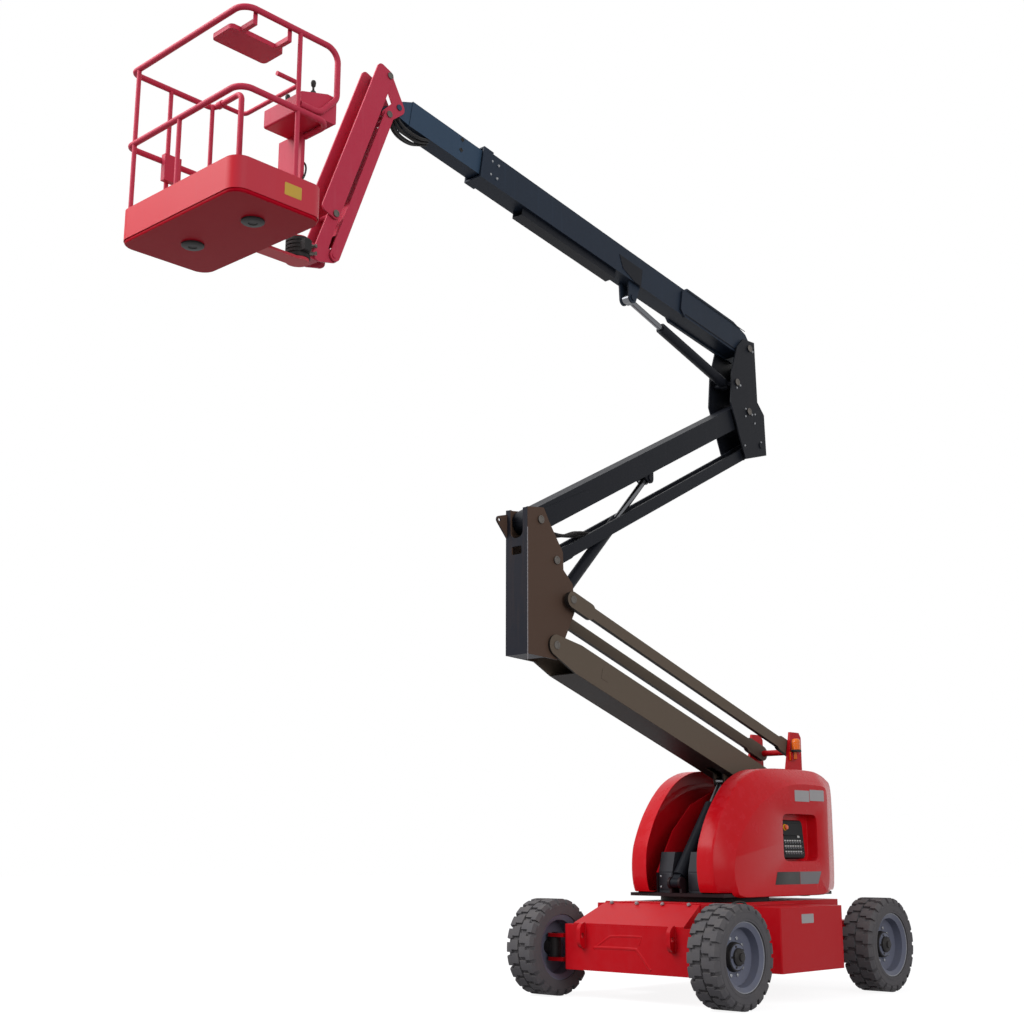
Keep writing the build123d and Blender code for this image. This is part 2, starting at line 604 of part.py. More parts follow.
def turntable_frame():
    """Return the slewing deck with the slot's walls, the tower plates and the pins they carry."""
    length = DECK_FRONT + DECK_REAR
    top = DECK_BOTTOM + DECK_PLATE
    deck = Pos((DECK_FRONT - DECK_REAR) / 2, 0, DECK_BOTTOM + DECK_PLATE / 2) * Box(
        length, 2 * DECK_HALF_WIDTH, DECK_PLATE
    )
    wall = outline(
        (-DECK_REAR + 30, top),
        (DECK_FRONT - 40, top),
        (DECK_FRONT - 40, top + WALL_NOSE),
        (250, 1220),
        (0, 1430),
        (-300, 1540),
        (-DECK_REAR + 170, 1540),
    )
    frame = deck + both_sides(wall, WALL_INNER, WALL_INNER + WALL_PLATE)
    tower = outline(
        (-TOWER_REAR, 1300),
        (-600, 1300),
        (-720, 1500),
        (-770, 1620),
        (-850, TOWER_TOP - 90),
        (-870, TOWER_TOP),
        (-TOWER_REAR + 30, TOWER_TOP),
        (-TOWER_REAR, TOWER_TOP - 40),
    )
    foot = outline((-TOWER_REAR + 20, top), (-560, top), (-600, 1300), (-TOWER_REAR, 1300))
    frame += both_sides(tower + foot, TOWER_HALF_WIDTH - TOWER_PLATE, TOWER_HALF_WIDTH)
    # the tower plates are welded to the slot's walls by spacer bars
    for x, z in ((-930, 820), (-650, 820), (-930, 1480), (-700, 1400)):
        bar = disc((x, z), 25)
        frame += both_sides(bar, TOWER_HALF_WIDTH - 1, WALL_INNER + 1)
    rear = -TOWER_REAR
    back = outline((rear, top), (rear + 12, top), (rear + 12, 1700), (rear, 1700))
    frame += slab(back, -TOWER_HALF_WIDTH, TOWER_HALF_WIDTH)
    # hinge rail of each cover along the slot's edge, on three posts
    rail_y = COVER_INNER - HINGE_RADIUS - SEAT_GAP
    rail_z = COVER_TOP - HINGE_RADIUS
    for side in (1, -1):
        frame += Pos(-560, side * rail_y, rail_z) * Rot(0, 90, 0) * Cylinder(HINGE_RADIUS, 300)
        for x in (-700, -560, -420):
            width = rail_y - WALL_INNER
            middle = Pos(x, side * (WALL_INNER + width / 2), (1520 + rail_z) / 2)
            frame += middle * Box(12, width, rail_z - 1520)
    frame += pin(LOWER_REAR, PIN_RADIUS, TOWER_HALF_WIDTH)
    frame += pin(LINK_REAR, PIN_RADIUS, TOWER_HALF_WIDTH)
    base = LOWER_CYLINDER[0]
    ears = disc(base, 45) + Pos(base[0] - 15, (top + base[1]) / 2) * Rectangle(60, base[1] - top + 1)
    frame += both_sides(ears, LUG_INNER, LUG_INNER + 20)
    frame += pin(base, EYE_PIN, 58)
    return frame


def counterweight():
    """Return the cast weights in the tail on both sides of the tower."""
    low = DECK_BOTTOM + DECK_PLATE + SEAT_GAP
    inner = WALL_INNER + WALL_PLATE + SEAT_GAP
    block = outline((-940, low), (-640, low), (-640, 1150), (-900, 1150))
    tail = outline((-1010, low), (-660, low), (-660, 1270), (-1010, 1270))
    between = TOWER_HALF_WIDTH - TOWER_PLATE - SEAT_GAP
    return both_sides(block, inner, COVER_OUTER - NICHE_DEPTH - 30) + slab(tail, -between, between)


def pump_unit():
    """Return the hydraulic unit under each cover as a plain block."""
    low = DECK_BOTTOM + DECK_PLATE + SEAT_GAP
    inner = WALL_INNER + WALL_PLATE + 40
    block = outline((-560, low), (150, low), (150, 980), (-560, 1080))
    return both_sides(block, inner, COVER_OUTER - NICHE_DEPTH - 30)


def slot_block():
    """Return the dark cabinets at the front of the slot, on both sides of the lift cylinder."""
    low = DECK_BOTTOM + DECK_PLATE + SEAT_GAP
    block = outline((100, low), (440, low), (440, low + 160), (400, 1060), (100, 1060))
    return both_sides(block, 75, WALL_INNER - SEAT_GAP)


def cover_profile(front=0.0, top=0.0, back=0.0, foot=0.0):
    """Return a cover's side outline drawn in at each edge: front arc, level top, leaning back, foot."""
    crest = (COVER_CREST, COVER_TOP - top)
    nose = (COVER_FRONT - front, COVER_NOSE)
    low = COVER_BOTTOM + foot
    rear = back - COVER_REAR
    shoulder = back - COVER_REAR_TOP
    arc = Bezier(nose, (nose[0] - 210, COVER_NOSE + 400), (crest[0] + 390, crest[1]), crest)
    rest = Polyline(
        crest,
        (shoulder + 120, crest[1] - 8),
        (shoulder, crest[1] - 125),
        (rear, COVER_BOTTOM + 90),
        (rear + 70, low),
        (nose[0] - 90, low),
        nose,
    )
    return make_face(arc + rest)


def cover_form(inner, outer, wall):
    """Return the solid form of a cover with its bevel towards the outer face, drawn in by a wall."""
    shoulder = outer - COVER_BEVEL
    full = cover_profile(wall, wall, wall, wall)
    face = cover_profile(BEVEL_FRONT + wall, BEVEL_TOP + wall, BEVEL_BACK + wall, BEVEL_FOOT + wall)
    plane = side_plane()
    bevel = loft([plane.offset(-shoulder) * full, plane.offset(-outer) * face], ruled=True)
    return slab(full, inner, shoulder) + bevel


def cover(side):
    """Return a turntable cover: a shell open below and towards the slot, the left one with a niche."""
    body = cover_form(COVER_INNER, COVER_OUTER, 0.0)
    body -= cover_form(COVER_INNER - 10, COVER_OUTER - COVER_WALL, COVER_WALL)
    inner = COVER_INNER - 10
    outer = COVER_OUTER - COVER_BEVEL
    mouth = Pos((COVER_FRONT - COVER_REAR) / 2 - 10, (inner + outer) / 2, COVER_BOTTOM)
    body -= mouth * Box(COVER_FRONT + COVER_REAR - 230, outer - inner, 60)
    if side < 0:
        return body.mirror(Plane.XZ)
    width = NICHE_FRONT - NICHE_REAR
    height = NICHE_HIGH - NICHE_LOW
    middle = Pos((NICHE_REAR + NICHE_FRONT) / 2, (NICHE_LOW + NICHE_HIGH) / 2)
    opening = RectangleRounded(width, height, NICHE_RADIUS)
    hole = slab(middle * opening, COVER_OUTER - NICHE_DEPTH, COVER_OUTER + 10)
    wall = 2 * COVER_WALL
    cup = middle * RectangleRounded(width + wall, height + wall, NICHE_RADIUS + COVER_WALL)
    body += slab(cup, COVER_OUTER - NICHE_DEPTH - COVER_WALL, COVER_OUTER - COVER_WALL / 2)
    return body - hole


def ground_control():
    """Return the ground control box that sits in the left cover's niche, with a sloping lower face."""
    width = NICHE_FRONT - NICHE_REAR - 40
    height = NICHE_HIGH - NICHE_LOW - 60
    back = COVER_OUTER - NICHE_DEPTH + SEAT_GAP
    middle = ((NICHE_REAR + NICHE_FRONT) / 2, back, NICHE_LOW + 30)
    side = make_face(Polyline((0, 0), (62, 0), (36, height), (0, height), close=True))
    plane = Plane(origin=middle, x_dir=(0, 1, 0), z_dir=(1, 0, 0))
    box = extrude(plane * side, width / 2, both=True)
    box = fillet(box.edges().sort_by(Axis.Y)[-1], 8)
    corners = RectangleRounded(width, height, NICHE_RADIUS)
    return box & slab(Pos(middle[0], middle[2] + height / 2) * corners, back - 5, back + 70)


def beacon():
    x = -880.0
    y = TOWER_HALF_WIDTH + 45
    post = Pos(x, y, 1845) * Box(30, 30, 60)
    post += Pos(x, TOWER_HALF_WIDTH + SEAT_GAP + 8, 1840) * Box(70, 16, 70)
    post += Pos(x, y, 1880) * Cylinder(40, 14)
    lens = Pos(x, y, 1887 + 48) * Cylinder(34, 96)
    return post + fillet(lens.edges().sort_by(Axis.Z)[-1], 20)


# ============================== lower parallelogram ==============================
def lower_boom():
    """Return the boxed lower boom: a boss at the tower and a fork round the mid upright."""
    plane = side_plane(LOWER_REAR, LOWER_ANGLE)
    length = LOWER_LENGTH
    front = length - LOWER_FORK
    half = LOWER_HALF_WIDTH
    profile = Pos(front / 2, 0) * Rectangle(front, LOWER_DEPTH) + Circle(EYE_RADIUS)
    beam = slab(profile, -half, half, plane)
    hollow = Pos(front / 2 + 60, 0) * Rectangle(front - 90, LOWER_DEPTH - 2 * LOWER_WALL)
    beam -= slab(hollow, LOWER_WALL - half, half - LOWER_WALL, plane)
    fork = Pos(front - 60, 0) * Rectangle(130, LOWER_DEPTH)
    nose = Pos(front, 0) * Rectangle(2, LOWER_DEPTH) + Pos(length, 0) * Circle(EYE_RADIUS)
    fork += make_hull(nose.edges())
    beam += both_sides(fork, half - FORK_PLATE, half, plane)
    bore = Circle(PIN_RADIUS + PIN_GAP)
    beam -= slab(Pos(length, 0) * bore + bore, -half, half, plane)
    slot = Pos(LOWER_EYE[0] + sum(LOWER_SLOT) / 2, -LOWER_DEPTH / 2)
    slot *= Rectangle(LOWER_SLOT[1] - LOWER_SLOT[0], 4 * LOWER_WALL)
    beam -= slab(slot, -SLOT_HALF_WIDTH, SLOT_HALF_WIDTH, plane)
    return beam + eye_lugs(plane, LOWER_EYE, -LOWER_DEPTH / 2, 42)


def eye_lugs(plane, eye, skin, radius):
    """Return the two plates under a boom that hold a rod eye, with the pin's heads on their outer faces."""
    inward = 1 if skin < 0 else -1
    root = Pos(eye[0], skin + inward * 0.5) * Rectangle(3.2 * radius, 1)
    plate = make_hull((Pos(*eye) * Circle(radius) + root).edges())
    lugs = both_sides(plate, LUG_INNER, LUG_INNER + LUG_THICKNESS, plane)
    head = Pos(*eye) * Circle(EYE_PIN + 6)
    outer = LUG_INNER + LUG_THICKNESS
    return lugs + both_sides(head, outer - 1, outer + 10, plane)


def links(start, end, depth, inner, thickness, end_depth):
    """Return a pair of tension bars with deeper ends, one on each side."""
    bar = bar_outline(start, end, depth / 2)
    for a, b in ((start, end), (end, start)):
        bar += bar_outline(a, polar(a, 200, heading(a, b)), end_depth / 2)
    bar -= disc(start, PIN_RADIUS + PIN_GAP)
    bar -= disc(end, PIN_RADIUS + PIN_GAP)
    return both_sides(bar, inner, inner + thickness)


def cylinder_barrel(base, eye, radius, rod_radius, length, pin_radius):
    """Return a cylinder barrel with its base eye, along the line from base to eye."""
    plane = side_plane(base, heading(base, eye))
    tube = Pos(60 + (length - 60) / 2, 0, 0) * Rot(0, 90, 0) * Cylinder(radius, length - 60)
    tube -= Pos(80 + length / 2, 0, 0) * Rot(0, 90, 0) * Cylinder(rod_radius + 0.4, length)
    lug = Circle(pin_radius + 18) + Pos(32, 0) * Rectangle(64, 60) - Circle(pin_radius + PIN_GAP)
    return plane * tube + slab(lug, -EYE_HALF_WIDTH, EYE_HALF_WIDTH, plane)


def cylinder_rod(base, eye, rod_radius, length):
    """Return a piston rod with its eye, along the line from base to eye."""
    plane = side_plane(eye, heading(base, eye))
    rod = Pos(-30 - length / 2, 0, 0) * Rot(0, 90, 0) * Cylinder(rod_radius, length)
    lug = Circle(36) + Pos(-25, 0) * Rectangle(50, 50) - Circle(EYE_PIN + PIN_GAP)
    return plane * rod + slab(lug, -EYE_HALF_WIDTH, EYE_HALF_WIDTH, plane)


# ============================== uprights and riser ==============================
def mid_upright():
    """Return the upright between the two parallelograms: two plates, a front web and a rear heel web."""
    low = LOWER_FRONT
    front = low[0] + MID_FRONT
    top = RISER_FRONT[1] + 75
    bottom = low[1] - 85
    heel = (low[0] - 229, low[1] + 282)
    toe = (low[0] - 28, low[1] - 101)
    plate = outline(
        toe,
        (front, bottom),
        (front, top),
        (RISER_FRONT[0] - 40, top + 20),
        (RISER_FRONT[0] - 90, RISER_FRONT[1] + 10),
        (RISER_LINK_FRONT[0] - 75, RISER_LINK_FRONT[1] + 70),
        (RISER_LINK_FRONT[0] - 80, RISER_LINK_FRONT[1] - 60),
        (LINK_FRONT[0] - 66, LINK_FRONT[1] + 132),
        heel,
    )
    upright = both_sides(plate, MID_HALF_WIDTH - MID_PLATE, MID_HALF_WIDTH)
    half = MID_HALF_WIDTH - 1
    face = Pos(front - MID_PLATE / 2, (bottom + top) / 2) * Rectangle(MID_PLATE, top - bottom - 4)
    upright += slab(face, -half, half)
    # the front plate is cut out at the top for the riser's end and has an ear at the right
    mouth = Pos(front, 0, top - MOUTH_DEPTH / 2 + 40) * Rot(0, 90, 0)
    upright -= mouth * extrude(RectangleRounded(MOUTH_DEPTH + 80, MOUTH_WIDTH, 50), 40, both=True)
    slot = Pos(front, 0, top - MOUTH_DEPTH - 90) * Rot(0, 90, 0)
    upright -= slot * extrude(RectangleRounded(60, 95, 12), 40, both=True)
    ear = disc((front + EAR_REACH, top - 80), 28) + outline(
        (front - 6, top - 30),
        (front - 6, top - 210),
        (front - 4, top - 210),
        (front - 4, top - 30),
    )
    ear = make_hull(ear.edges()) - disc((front + EAR_REACH, top - 80), 12)
    upright += slab(ear, -MID_HALF_WIDTH, MID_PLATE - MID_HALF_WIDTH)
    rear = low[0] + 95
    sole = outline((rear, bottom - 8), (front, bottom), (front, bottom + 12), (rear, bottom + 5))
    upright += slab(sole & plate, -half, half)
    slope = heading(heel, toe)
    reach = hypot(toe[0] - heel[0], toe[1] - heel[1])
    web = Pos(0.42 * reach, MID_PLATE / 2) * Rectangle(0.62 * reach, MID_PLATE)
    upright += slab(web, -half, half, side_plane(heel, slope))
    upright += pin(low, PIN_RADIUS, LOWER_HALF_WIDTH)
    upright += pin(LINK_FRONT, PIN_RADIUS, LINK_INNER + LINK_THICKNESS)
    for point in (RISER_FRONT, RISER_LINK_FRONT):
        upright += pin(point, PIN_RADIUS, MID_HALF_WIDTH + 8)
    return upright


def riser_boom():
    """Return the boxed riser boom with plain bosses at both pins and the lift cylinder's ears below."""
    plane = side_plane(RISER_FRONT, 180 - RISER_ANGLE)
    length = RISER_LENGTH
    half = RISER_HALF_WIDTH
    profile = Pos(length / 2, 0) * SlotCenterToCenter(length, RISER_DEPTH)
    beam = slab(profile, -half, half, plane)
    hollow = Pos(length / 2, 0) * Rectangle(length - 120, RISER_DEPTH - 2 * RISER_WALL)
    beam -= slab(hollow, RISER_WALL - half, half - RISER_WALL, plane)
    bore = Circle(PIN_RADIUS + PIN_GAP)
    beam -= slab(Pos(length, 0) * bore + bore, -half, half, plane)
    slot = Pos(RISER_EYE[0] + sum(RISER_SLOT) / 2, RISER_DEPTH / 2)
    slot *= Rectangle(RISER_SLOT[1] - RISER_SLOT[0], 4 * RISER_WALL)
    beam -= slab(slot, -SLOT_HALF_WIDTH, SLOT_HALF_WIDTH, plane)
    return beam + eye_lugs(plane, RISER_EYE, RISER_DEPTH / 2, 42)


def upper_upright():
    """Return the upright that carries the main boom: two plates and two rear webs."""
    foot = RISER_LINK_REAR
    hip = RISER_REAR
    top = MAIN_PIN
    plate = outline(
        (foot[0] - 84, foot[1] - 71),
        (hip[0] + 67, hip[1] - 438),
        (hip[0] + 264, hip[1] + 28),
        (hip[0] + 232, hip[1] + 315),
        (top[0] + 186, top[1] - 31),
        (top[0] + 88, top[1] + 68),
        (top[0] - 84, top[1] + 76),
        (hip[0] - 143, hip[1] + 117),
        (hip[0] - 240, hip[1] + 20),
    )
    upright = both_sides(plate, UPPER_HALF_WIDTH - UPPER_PLATE, UPPER_HALF_WIDTH)
    half = UPPER_HALF_WIDTH - 1
    back = outline(
        (hip[0] - 143, hip[1] + 130),
        (hip[0] - 131, hip[1] + 130),
        (top[0] - 76, top[1] - 110),
        (top[0] - 88, top[1] - 110),
    )
    upright += slab(back & plate, -half, half)
    apron = outline(
        (foot[0] - 84, foot[1] - 60),
        (foot[0] - 74, foot[1] - 60),
        (hip[0] - 230, hip[1] + 10),
        (hip[0] - 240, hip[1] + 20),
    )
    upright += slab(apron & plate, -half, half)
    bores = ((foot, PIN_RADIUS), (hip, PIN_RADIUS), (top, PIN_RADIUS), (MAIN_CYLINDER[0], EYE_PIN))
    for point, radius in bores:
        upright += pin(point, radius, UPPER_HALF_WIDTH + 8)
    return upright


# ============================== main boom ==============================
def main_boom():
    """Return the outer main boom with its doubled root, its front collar and the cylinder bracket."""
    plane = side_plane(MAIN_LINE, MAIN_ANGLE)
    beam = box_section(plane, 60, OUTER_LENGTH, OUTER_DEPTH, OUTER_HALF_WIDTH, OUTER_WALL)
    collar_start = OUTER_LENGTH - COLLAR_LENGTH
    grown = COLLAR_GROWTH
    beam += box_section(
        plane, collar_start, OUTER_LENGTH, OUTER_DEPTH + 2 * grown, OUTER_HALF_WIDTH + grown, grown
    )
    low = -OUTER_DEPTH / 2 - 15
    high = OUTER_DEPTH / 2 + 15
    root = outline(
        (80, low),
        (ROOT_LENGTH, low),
        (ROOT_LENGTH + 60, low + 50),
        (ROOT_LENGTH + 60, high - 50),
        (ROOT_LENGTH, high),
        (220, high),
        (32, high - 44),
        (-40, 30),
        (-40, low + 30),
    )
    root += Pos(0, -MAIN_RISE) * Circle(88)
    skin = OUTER_HALF_WIDTH - OUTER_WALL
    sides = both_sides(root, skin, skin + ROOT_PLATE + OUTER_WALL, plane)
    bore = Pos(0, -MAIN_RISE) * Circle(PIN_RADIUS + PIN_GAP)
    beam += sides - slab(bore, -200, 200, plane)
    eye = (MAIN_EYE[0], MAIN_EYE[1] - MAIN_RISE)
    return beam + eye_lugs(plane, eye, -OUTER_DEPTH / 2, 46)


def hose_tray():
    """Return the shallow tray that carries the hoses below the front of the outer boom."""
    plane = side_plane(MAIN_LINE, MAIN_ANGLE)
    under = -OUTER_DEPTH / 2 - SEAT_GAP
    tray = slab(Pos(TRAY_MIDDLE, under - 30) * Rectangle(TRAY_LENGTH, 60), -50, 50, plane)
    return tray - slab(Pos(TRAY_MIDDLE, under - 24) * Rectangle(TRAY_LENGTH + 20, 60), -44, 44, plane)


def fly_boom():
    """Return the telescoping fly boom with its slide pads and the nose fork."""
    plane = side_plane(MAIN_LINE, MAIN_ANGLE)
    start = FLY_REACH - FLY_LENGTH
    beam = box_section(plane, start, FLY_REACH, FLY_DEPTH, FLY_HALF_WIDTH, FLY_WALL)
    along, across = NOSE_OFFSET
    inside = FLY_DEPTH / 2 - FLY_WALL
    nose = Pos(FLY_REACH - 60, 0) * Rectangle(120, 2 * inside + 1) + Pos(along, across) * Circle(52)
    nose = make_hull(nose.edges()) - Pos(along, across) * Circle(1)
    beam += both_sides(nose, NOSE_HALF_WIDTH - 12, FLY_HALF_WIDTH - FLY_WALL + 0.5, plane) & slab(
        Pos(along, 0) * Rectangle(600, 400), -NOSE_HALF_WIDTH - 4, NOSE_HALF_WIDTH + 4, plane
    )
    reach = JIB_LINK_INNER + 20
    beam += slab(Pos(along, across) * Circle(NOSE_PIN_RADIUS), -reach, reach, plane)
    # slide pads between the fly and the outer boom, on all four sides
    gap = (OUTER_DEPTH - 2 * OUTER_WALL - FLY_DEPTH) / 2 - SEAT_GAP
    side = OUTER_HALF_WIDTH - OUTER_WALL - FLY_HALF_WIDTH - SEAT_GAP
    at = start + 60
    for sign in (1, -1):
        v = sign * (FLY_DEPTH / 2 + gap / 2)
        beam += slab(Pos(at, v) * Rectangle(100, gap), -40, 40, plane)
        y = sign * (FLY_HALF_WIDTH + side / 2)
        beam += slab(Pos(at, 0) * Rectangle(100, 120), y - side / 2, y + side / 2, plane)
    return beam


# ============================== jib ==============================
def jib_base():
    """Return the pair of plates that hangs the jib on the nose pin."""
    plate = make_hull((disc(NOSE_PIN, 52) + disc(JIB_UP_REAR, 46)).edges())
    plate += make_hull((disc(NOSE_PIN, 52) + disc(JIB_LOW_REAR, 44)).edges())
    plate -= disc(NOSE_PIN, NOSE_PIN_RADIUS + PIN_GAP)
    inner = JIB_LINK_INNER
    base = both_sides(plate, inner, inner + JIB_LINK_PLATE)
    for point in (JIB_UP_REAR, JIB_LOW_REAR):
        base += pin(point, JIB_PIN_RADIUS, JIB_ARM_INNER + JIB_ARM_PLATE + 6)
    return base


def jib_arm(start, above, below, web_side):
    """Return a jib arm: two side plates joined by one web on the chosen side, or by both for 0."""
    plane = side_plane(start, JIB_ANGLE)
    middle = (above - below) / 2
    depth = above + below
    plate = Pos(JIB_LENGTH / 2, middle) * Rectangle(JIB_LENGTH + 2 * JIB_BELOW, depth)
    plate = fillet(plate.vertices(), min(depth / 2 - 1, 38))
    plate -= Circle(JIB_PIN_RADIUS + PIN_GAP)
    plate -= Pos(JIB_LENGTH, 0) * Circle(JIB_PIN_RADIUS + PIN_GAP)
    arm = both_sides(plate, JIB_ARM_INNER, JIB_ARM_INNER + JIB_ARM_PLATE, plane)
    levels = {1: (above,), -1: (JIB_WEB - below,), 0: (above, JIB_WEB - below)}[web_side]
    for level in levels:
        web = Pos(JIB_LENGTH / 2, level - JIB_WEB / 2) * Rectangle(JIB_LENGTH - 2 * JIB_WEB_START, JIB_WEB)
        arm += slab(web, -JIB_ARM_INNER - 1, JIB_ARM_INNER + 1, plane)
    return arm


def jib_head():
    """Return the pair of plates at the jib's foot with the rotator's fixed housing."""
    low = JIB_LOW_FRONT
    level = ROTATOR_LEVEL
    toe = disc((low[0] + 110, level - 10), 50)
    plate = make_hull((disc(JIB_UP_FRONT, 42) + toe).edges()) + make_hull((disc(low, 44) + toe).edges())
    inner = JIB_LINK_INNER
    head = both_sides(plate, inner, inner + JIB_LINK_PLATE)
    for point in (low, JIB_UP_FRONT):
        head += pin(point, JIB_PIN_RADIUS, JIB_ARM_INNER + JIB_ARM_PLATE + 6)
    web_x = low[0] + 100
    reach = ROTATOR_AXIS - web_x
    head += Pos(web_x + reach / 2, 0, level) * Box(reach, 2 * inner + 2, ROTATOR_HEIGHT - 20)
    return head - Pos(ROTATOR_AXIS, 0, level) * Cylinder(ROTATOR_RADIUS + SEAT_GAP, ROTATOR_HEIGHT)


def rotator():
    """Return the fixed housing of the platform rotator: a finned cylinder with a port block on its side."""
    level = ROTATOR_LEVEL
    housing = Pos(ROTATOR_AXIS, 0, level) * Cylinder(ROTATOR_RADIUS, ROTATOR_HEIGHT)
    for k in range(4):
        z = level + (k - 1.5) * ROTATOR_HEIGHT / 5
        groove = Cylinder(ROTATOR_RADIUS + 1, 8) - Cylinder(ROTATOR_RADIUS - 6, 8)
        housing -= Pos(ROTATOR_AXIS, 0, z) * groove
    port = Pos(ROTATOR_AXIS + 10, ROTATOR_RADIUS + 12, level) * Box(56, 48, 70)
    return housing + port - Pos(ROTATOR_AXIS, 0, level) * Cylinder(25 + PIN_GAP, ROTATOR_HEIGHT + 2)


# ============================== platform ==============================
def platform_carrier():
    """Return the turning part of the rotator with the arms that run under the platform floor."""
    level = ROTATOR_LEVEL
    high = level + ROTATOR_HEIGHT / 2 + 2
    low = level - ROTATOR_HEIGHT / 2 - 2
    carrier = Pos(ROTATOR_AXIS, 0, level) * Cylinder(25, ROTATOR_HEIGHT + 8)
    carrier += Pos(ROTATOR_AXIS, 0, high + 6) * Cylinder(60, 12)
    carrier += Pos(ROTATOR_AXIS, 0, low - 10) * Cylinder(ROTATOR_RADIUS - 6, 20)
    top = min(PLATFORM_BOTTOM - SEAT_GAP, low)
    height = top - (low - 20)
    reach = PLATFORM_GAP + 0.75 * PLATFORM_DEPTH
    carrier += Pos(ROTATOR_AXIS + reach / 2, 0, low - 20 + height / 2) * Box(reach, 120, height)
    for side in (1, -1):
        x = PLATFORM_REAR + 0.55 * PLATFORM_DEPTH
        carrier += Pos(x, side * 220, low - 20 + height / 2) * Box(120, 340, height)
    return carrier


def platform_floor():
    """Return the platform's pan: a toe band with rounded corners, the floor plate and ribs below it."""
    x = PLATFORM_REAR + PLATFORM_DEPTH / 2
    outer = RectangleRounded(PLATFORM_DEPTH, PLATFORM_WIDTH, CORNER_RADIUS)
    wall = 2 * TOE_WALL
    hollow = RectangleRounded(PLATFORM_DEPTH - wall, PLATFORM_WIDTH - wall, CORNER_RADIUS - TOE_WALL)
    pan = extrude(outer, TOE_HEIGHT)
    pan -= Pos(0, 0, FLOOR_RISE) * extrude(hollow, TOE_HEIGHT)
    pan -= extrude(hollow, FLOOR_RISE - TOE_WALL)
    for k in range(4):
        y = (k - 1.5) * PLATFORM_WIDTH / 4
        pan += Pos(0, y, FLOOR_RISE / 2) * Box(PLATFORM_DEPTH - wall + 1, 5, FLOOR_RISE)
    return Pos(x, 0, PLATFORM_BOTTOM) * pan


def tube_path(points, radius, bend):
    """Return a round tube along points with equal bends."""
    path = FilletPolyline(*points, radius=bend)
    along = Vector(*points[1]) - Vector(*points[0])
    return sweep(Plane(origin=points[0], z_dir=along) * Circle(radius), path=path)


def tube(start, end, radius):
    """Return a straight round tube between two points."""
    along = Vector(*end) - Vector(*start)
    return extrude(Plane(origin=start, z_dir=along) * Circle(radius), along.length)


def top_rail():
    """Return the top rail, from the entry round the right side and front to the curl at the left."""
    right = tube_path(
        [
            (RAIL_FRONT, 0, TOP_LEVEL),
            (RAIL_FRONT, -RAIL_SIDE, TOP_LEVEL),
            (RAIL_REAR, -RAIL_SIDE, TOP_LEVEL),
            (RAIL_REAR, ENTRY_POST, TOP_LEVEL),
            (RAIL_REAR, ENTRY_POST, PLATFORM_BOTTOM + TOE_HEIGHT + SEAT_GAP),
        ],
        RAIL_TUBE,
        RIGHT_BEND,
    )
    over = RAIL_REAR - RAIL_OVERHANG
    first, second, run = RAIL_CURL
    left = tube_path(
        [
            (RAIL_FRONT, 0, TOP_LEVEL),
            (RAIL_FRONT, RAIL_SIDE, TOP_LEVEL),
            (over, RAIL_SIDE, TOP_LEVEL),
            (over, RAIL_SIDE, TOP_LEVEL - first),
            (over + run, RAIL_SIDE, TOP_LEVEL - second),
            (RAIL_REAR + POSTS[2][0] - POST_TUBE - SEAT_GAP, RAIL_SIDE, TOP_LEVEL - second),
        ],
        RAIL_TUBE,
        RAIL_BEND,
    )
    return right + left


def mid_rail():
    """Return the mid rail, from the entry post round the right side, front and left side to the stand."""
    right = tube_path(
        [
            (RAIL_FRONT, 0, MID_LEVEL),
            (RAIL_FRONT, -RAIL_SIDE, MID_LEVEL),
            (RAIL_REAR, -RAIL_SIDE, MID_LEVEL),
            (RAIL_REAR, ENTRY_POST - RAIL_TUBE - SEAT_GAP, MID_LEVEL),
        ],
        RAIL_TUBE,
        RIGHT_BEND,
    )
    over = RAIL_REAR - RAIL_OVERHANG / 2
    left = tube_path(
        [
            (RAIL_FRONT, 0, MID_LEVEL),
            (RAIL_FRONT, RAIL_SIDE, MID_LEVEL),
            (over, RAIL_SIDE, MID_LEVEL),
            (over, STAND_LEFT + SEAT_GAP, MID_LEVEL),
        ],
        RAIL_TUBE,
        RAIL_BEND,
    )
    return right + left


def rail_posts():
    """Return the posts from the floor up, cut where they meet the middle and top rails."""
    posts = Part()
    for along, across, to_top in POSTS:
        x = RAIL_REAR + along
        top = TOP_LEVEL if to_top else MID_LEVEL
        posts += tube((x, across, FLOOR_LEVEL + SEAT_GAP), (x, across, top), POST_TUBE)
    return posts - mid_rail() - top_rail()


def platform_shelf():
    """Return the shallow shelf under the top rail with the hangers that hold it to the rail."""
    rear = RAIL_REAR + SHELF_REAR
    length = RAIL_FRONT - RAIL_TUBE - SEAT_GAP - rear
    low = TOP_LEVEL - SHELF_DROP
    middle = Pos(rear + length / 2, SHELF_RIGHT + SHELF_WIDTH / 2, low)
    shelf = middle * extrude(RectangleRounded(length, SHELF_WIDTH, 30), SHELF_RIM)
    inner = RectangleRounded(length - 2 * SHELF_SHEET, SHELF_WIDTH - 2 * SHELF_SHEET, 30 - SHELF_SHEET)
    shelf -= middle * Pos(0, 0, SHELF_SHEET) * extrude(inner, SHELF_RIM)
    left = SHELF_RIGHT + SHELF_WIDTH
    reach = RAIL_SIDE - RAIL_TUBE - SEAT_GAP - left
    for x in (rear + 60, rear + length - 80):
        strap = Pos(x, left + reach / 2 - 1, low + SHELF_RIM / 2) * Box(30, reach + 2, SHELF_RIM)
        rise = TOP_LEVEL - low
        hanger = Pos(x, left + reach - 2, low + rise / 2) * Box(30, 4, rise)
        shelf += strap + hanger
    return shelf


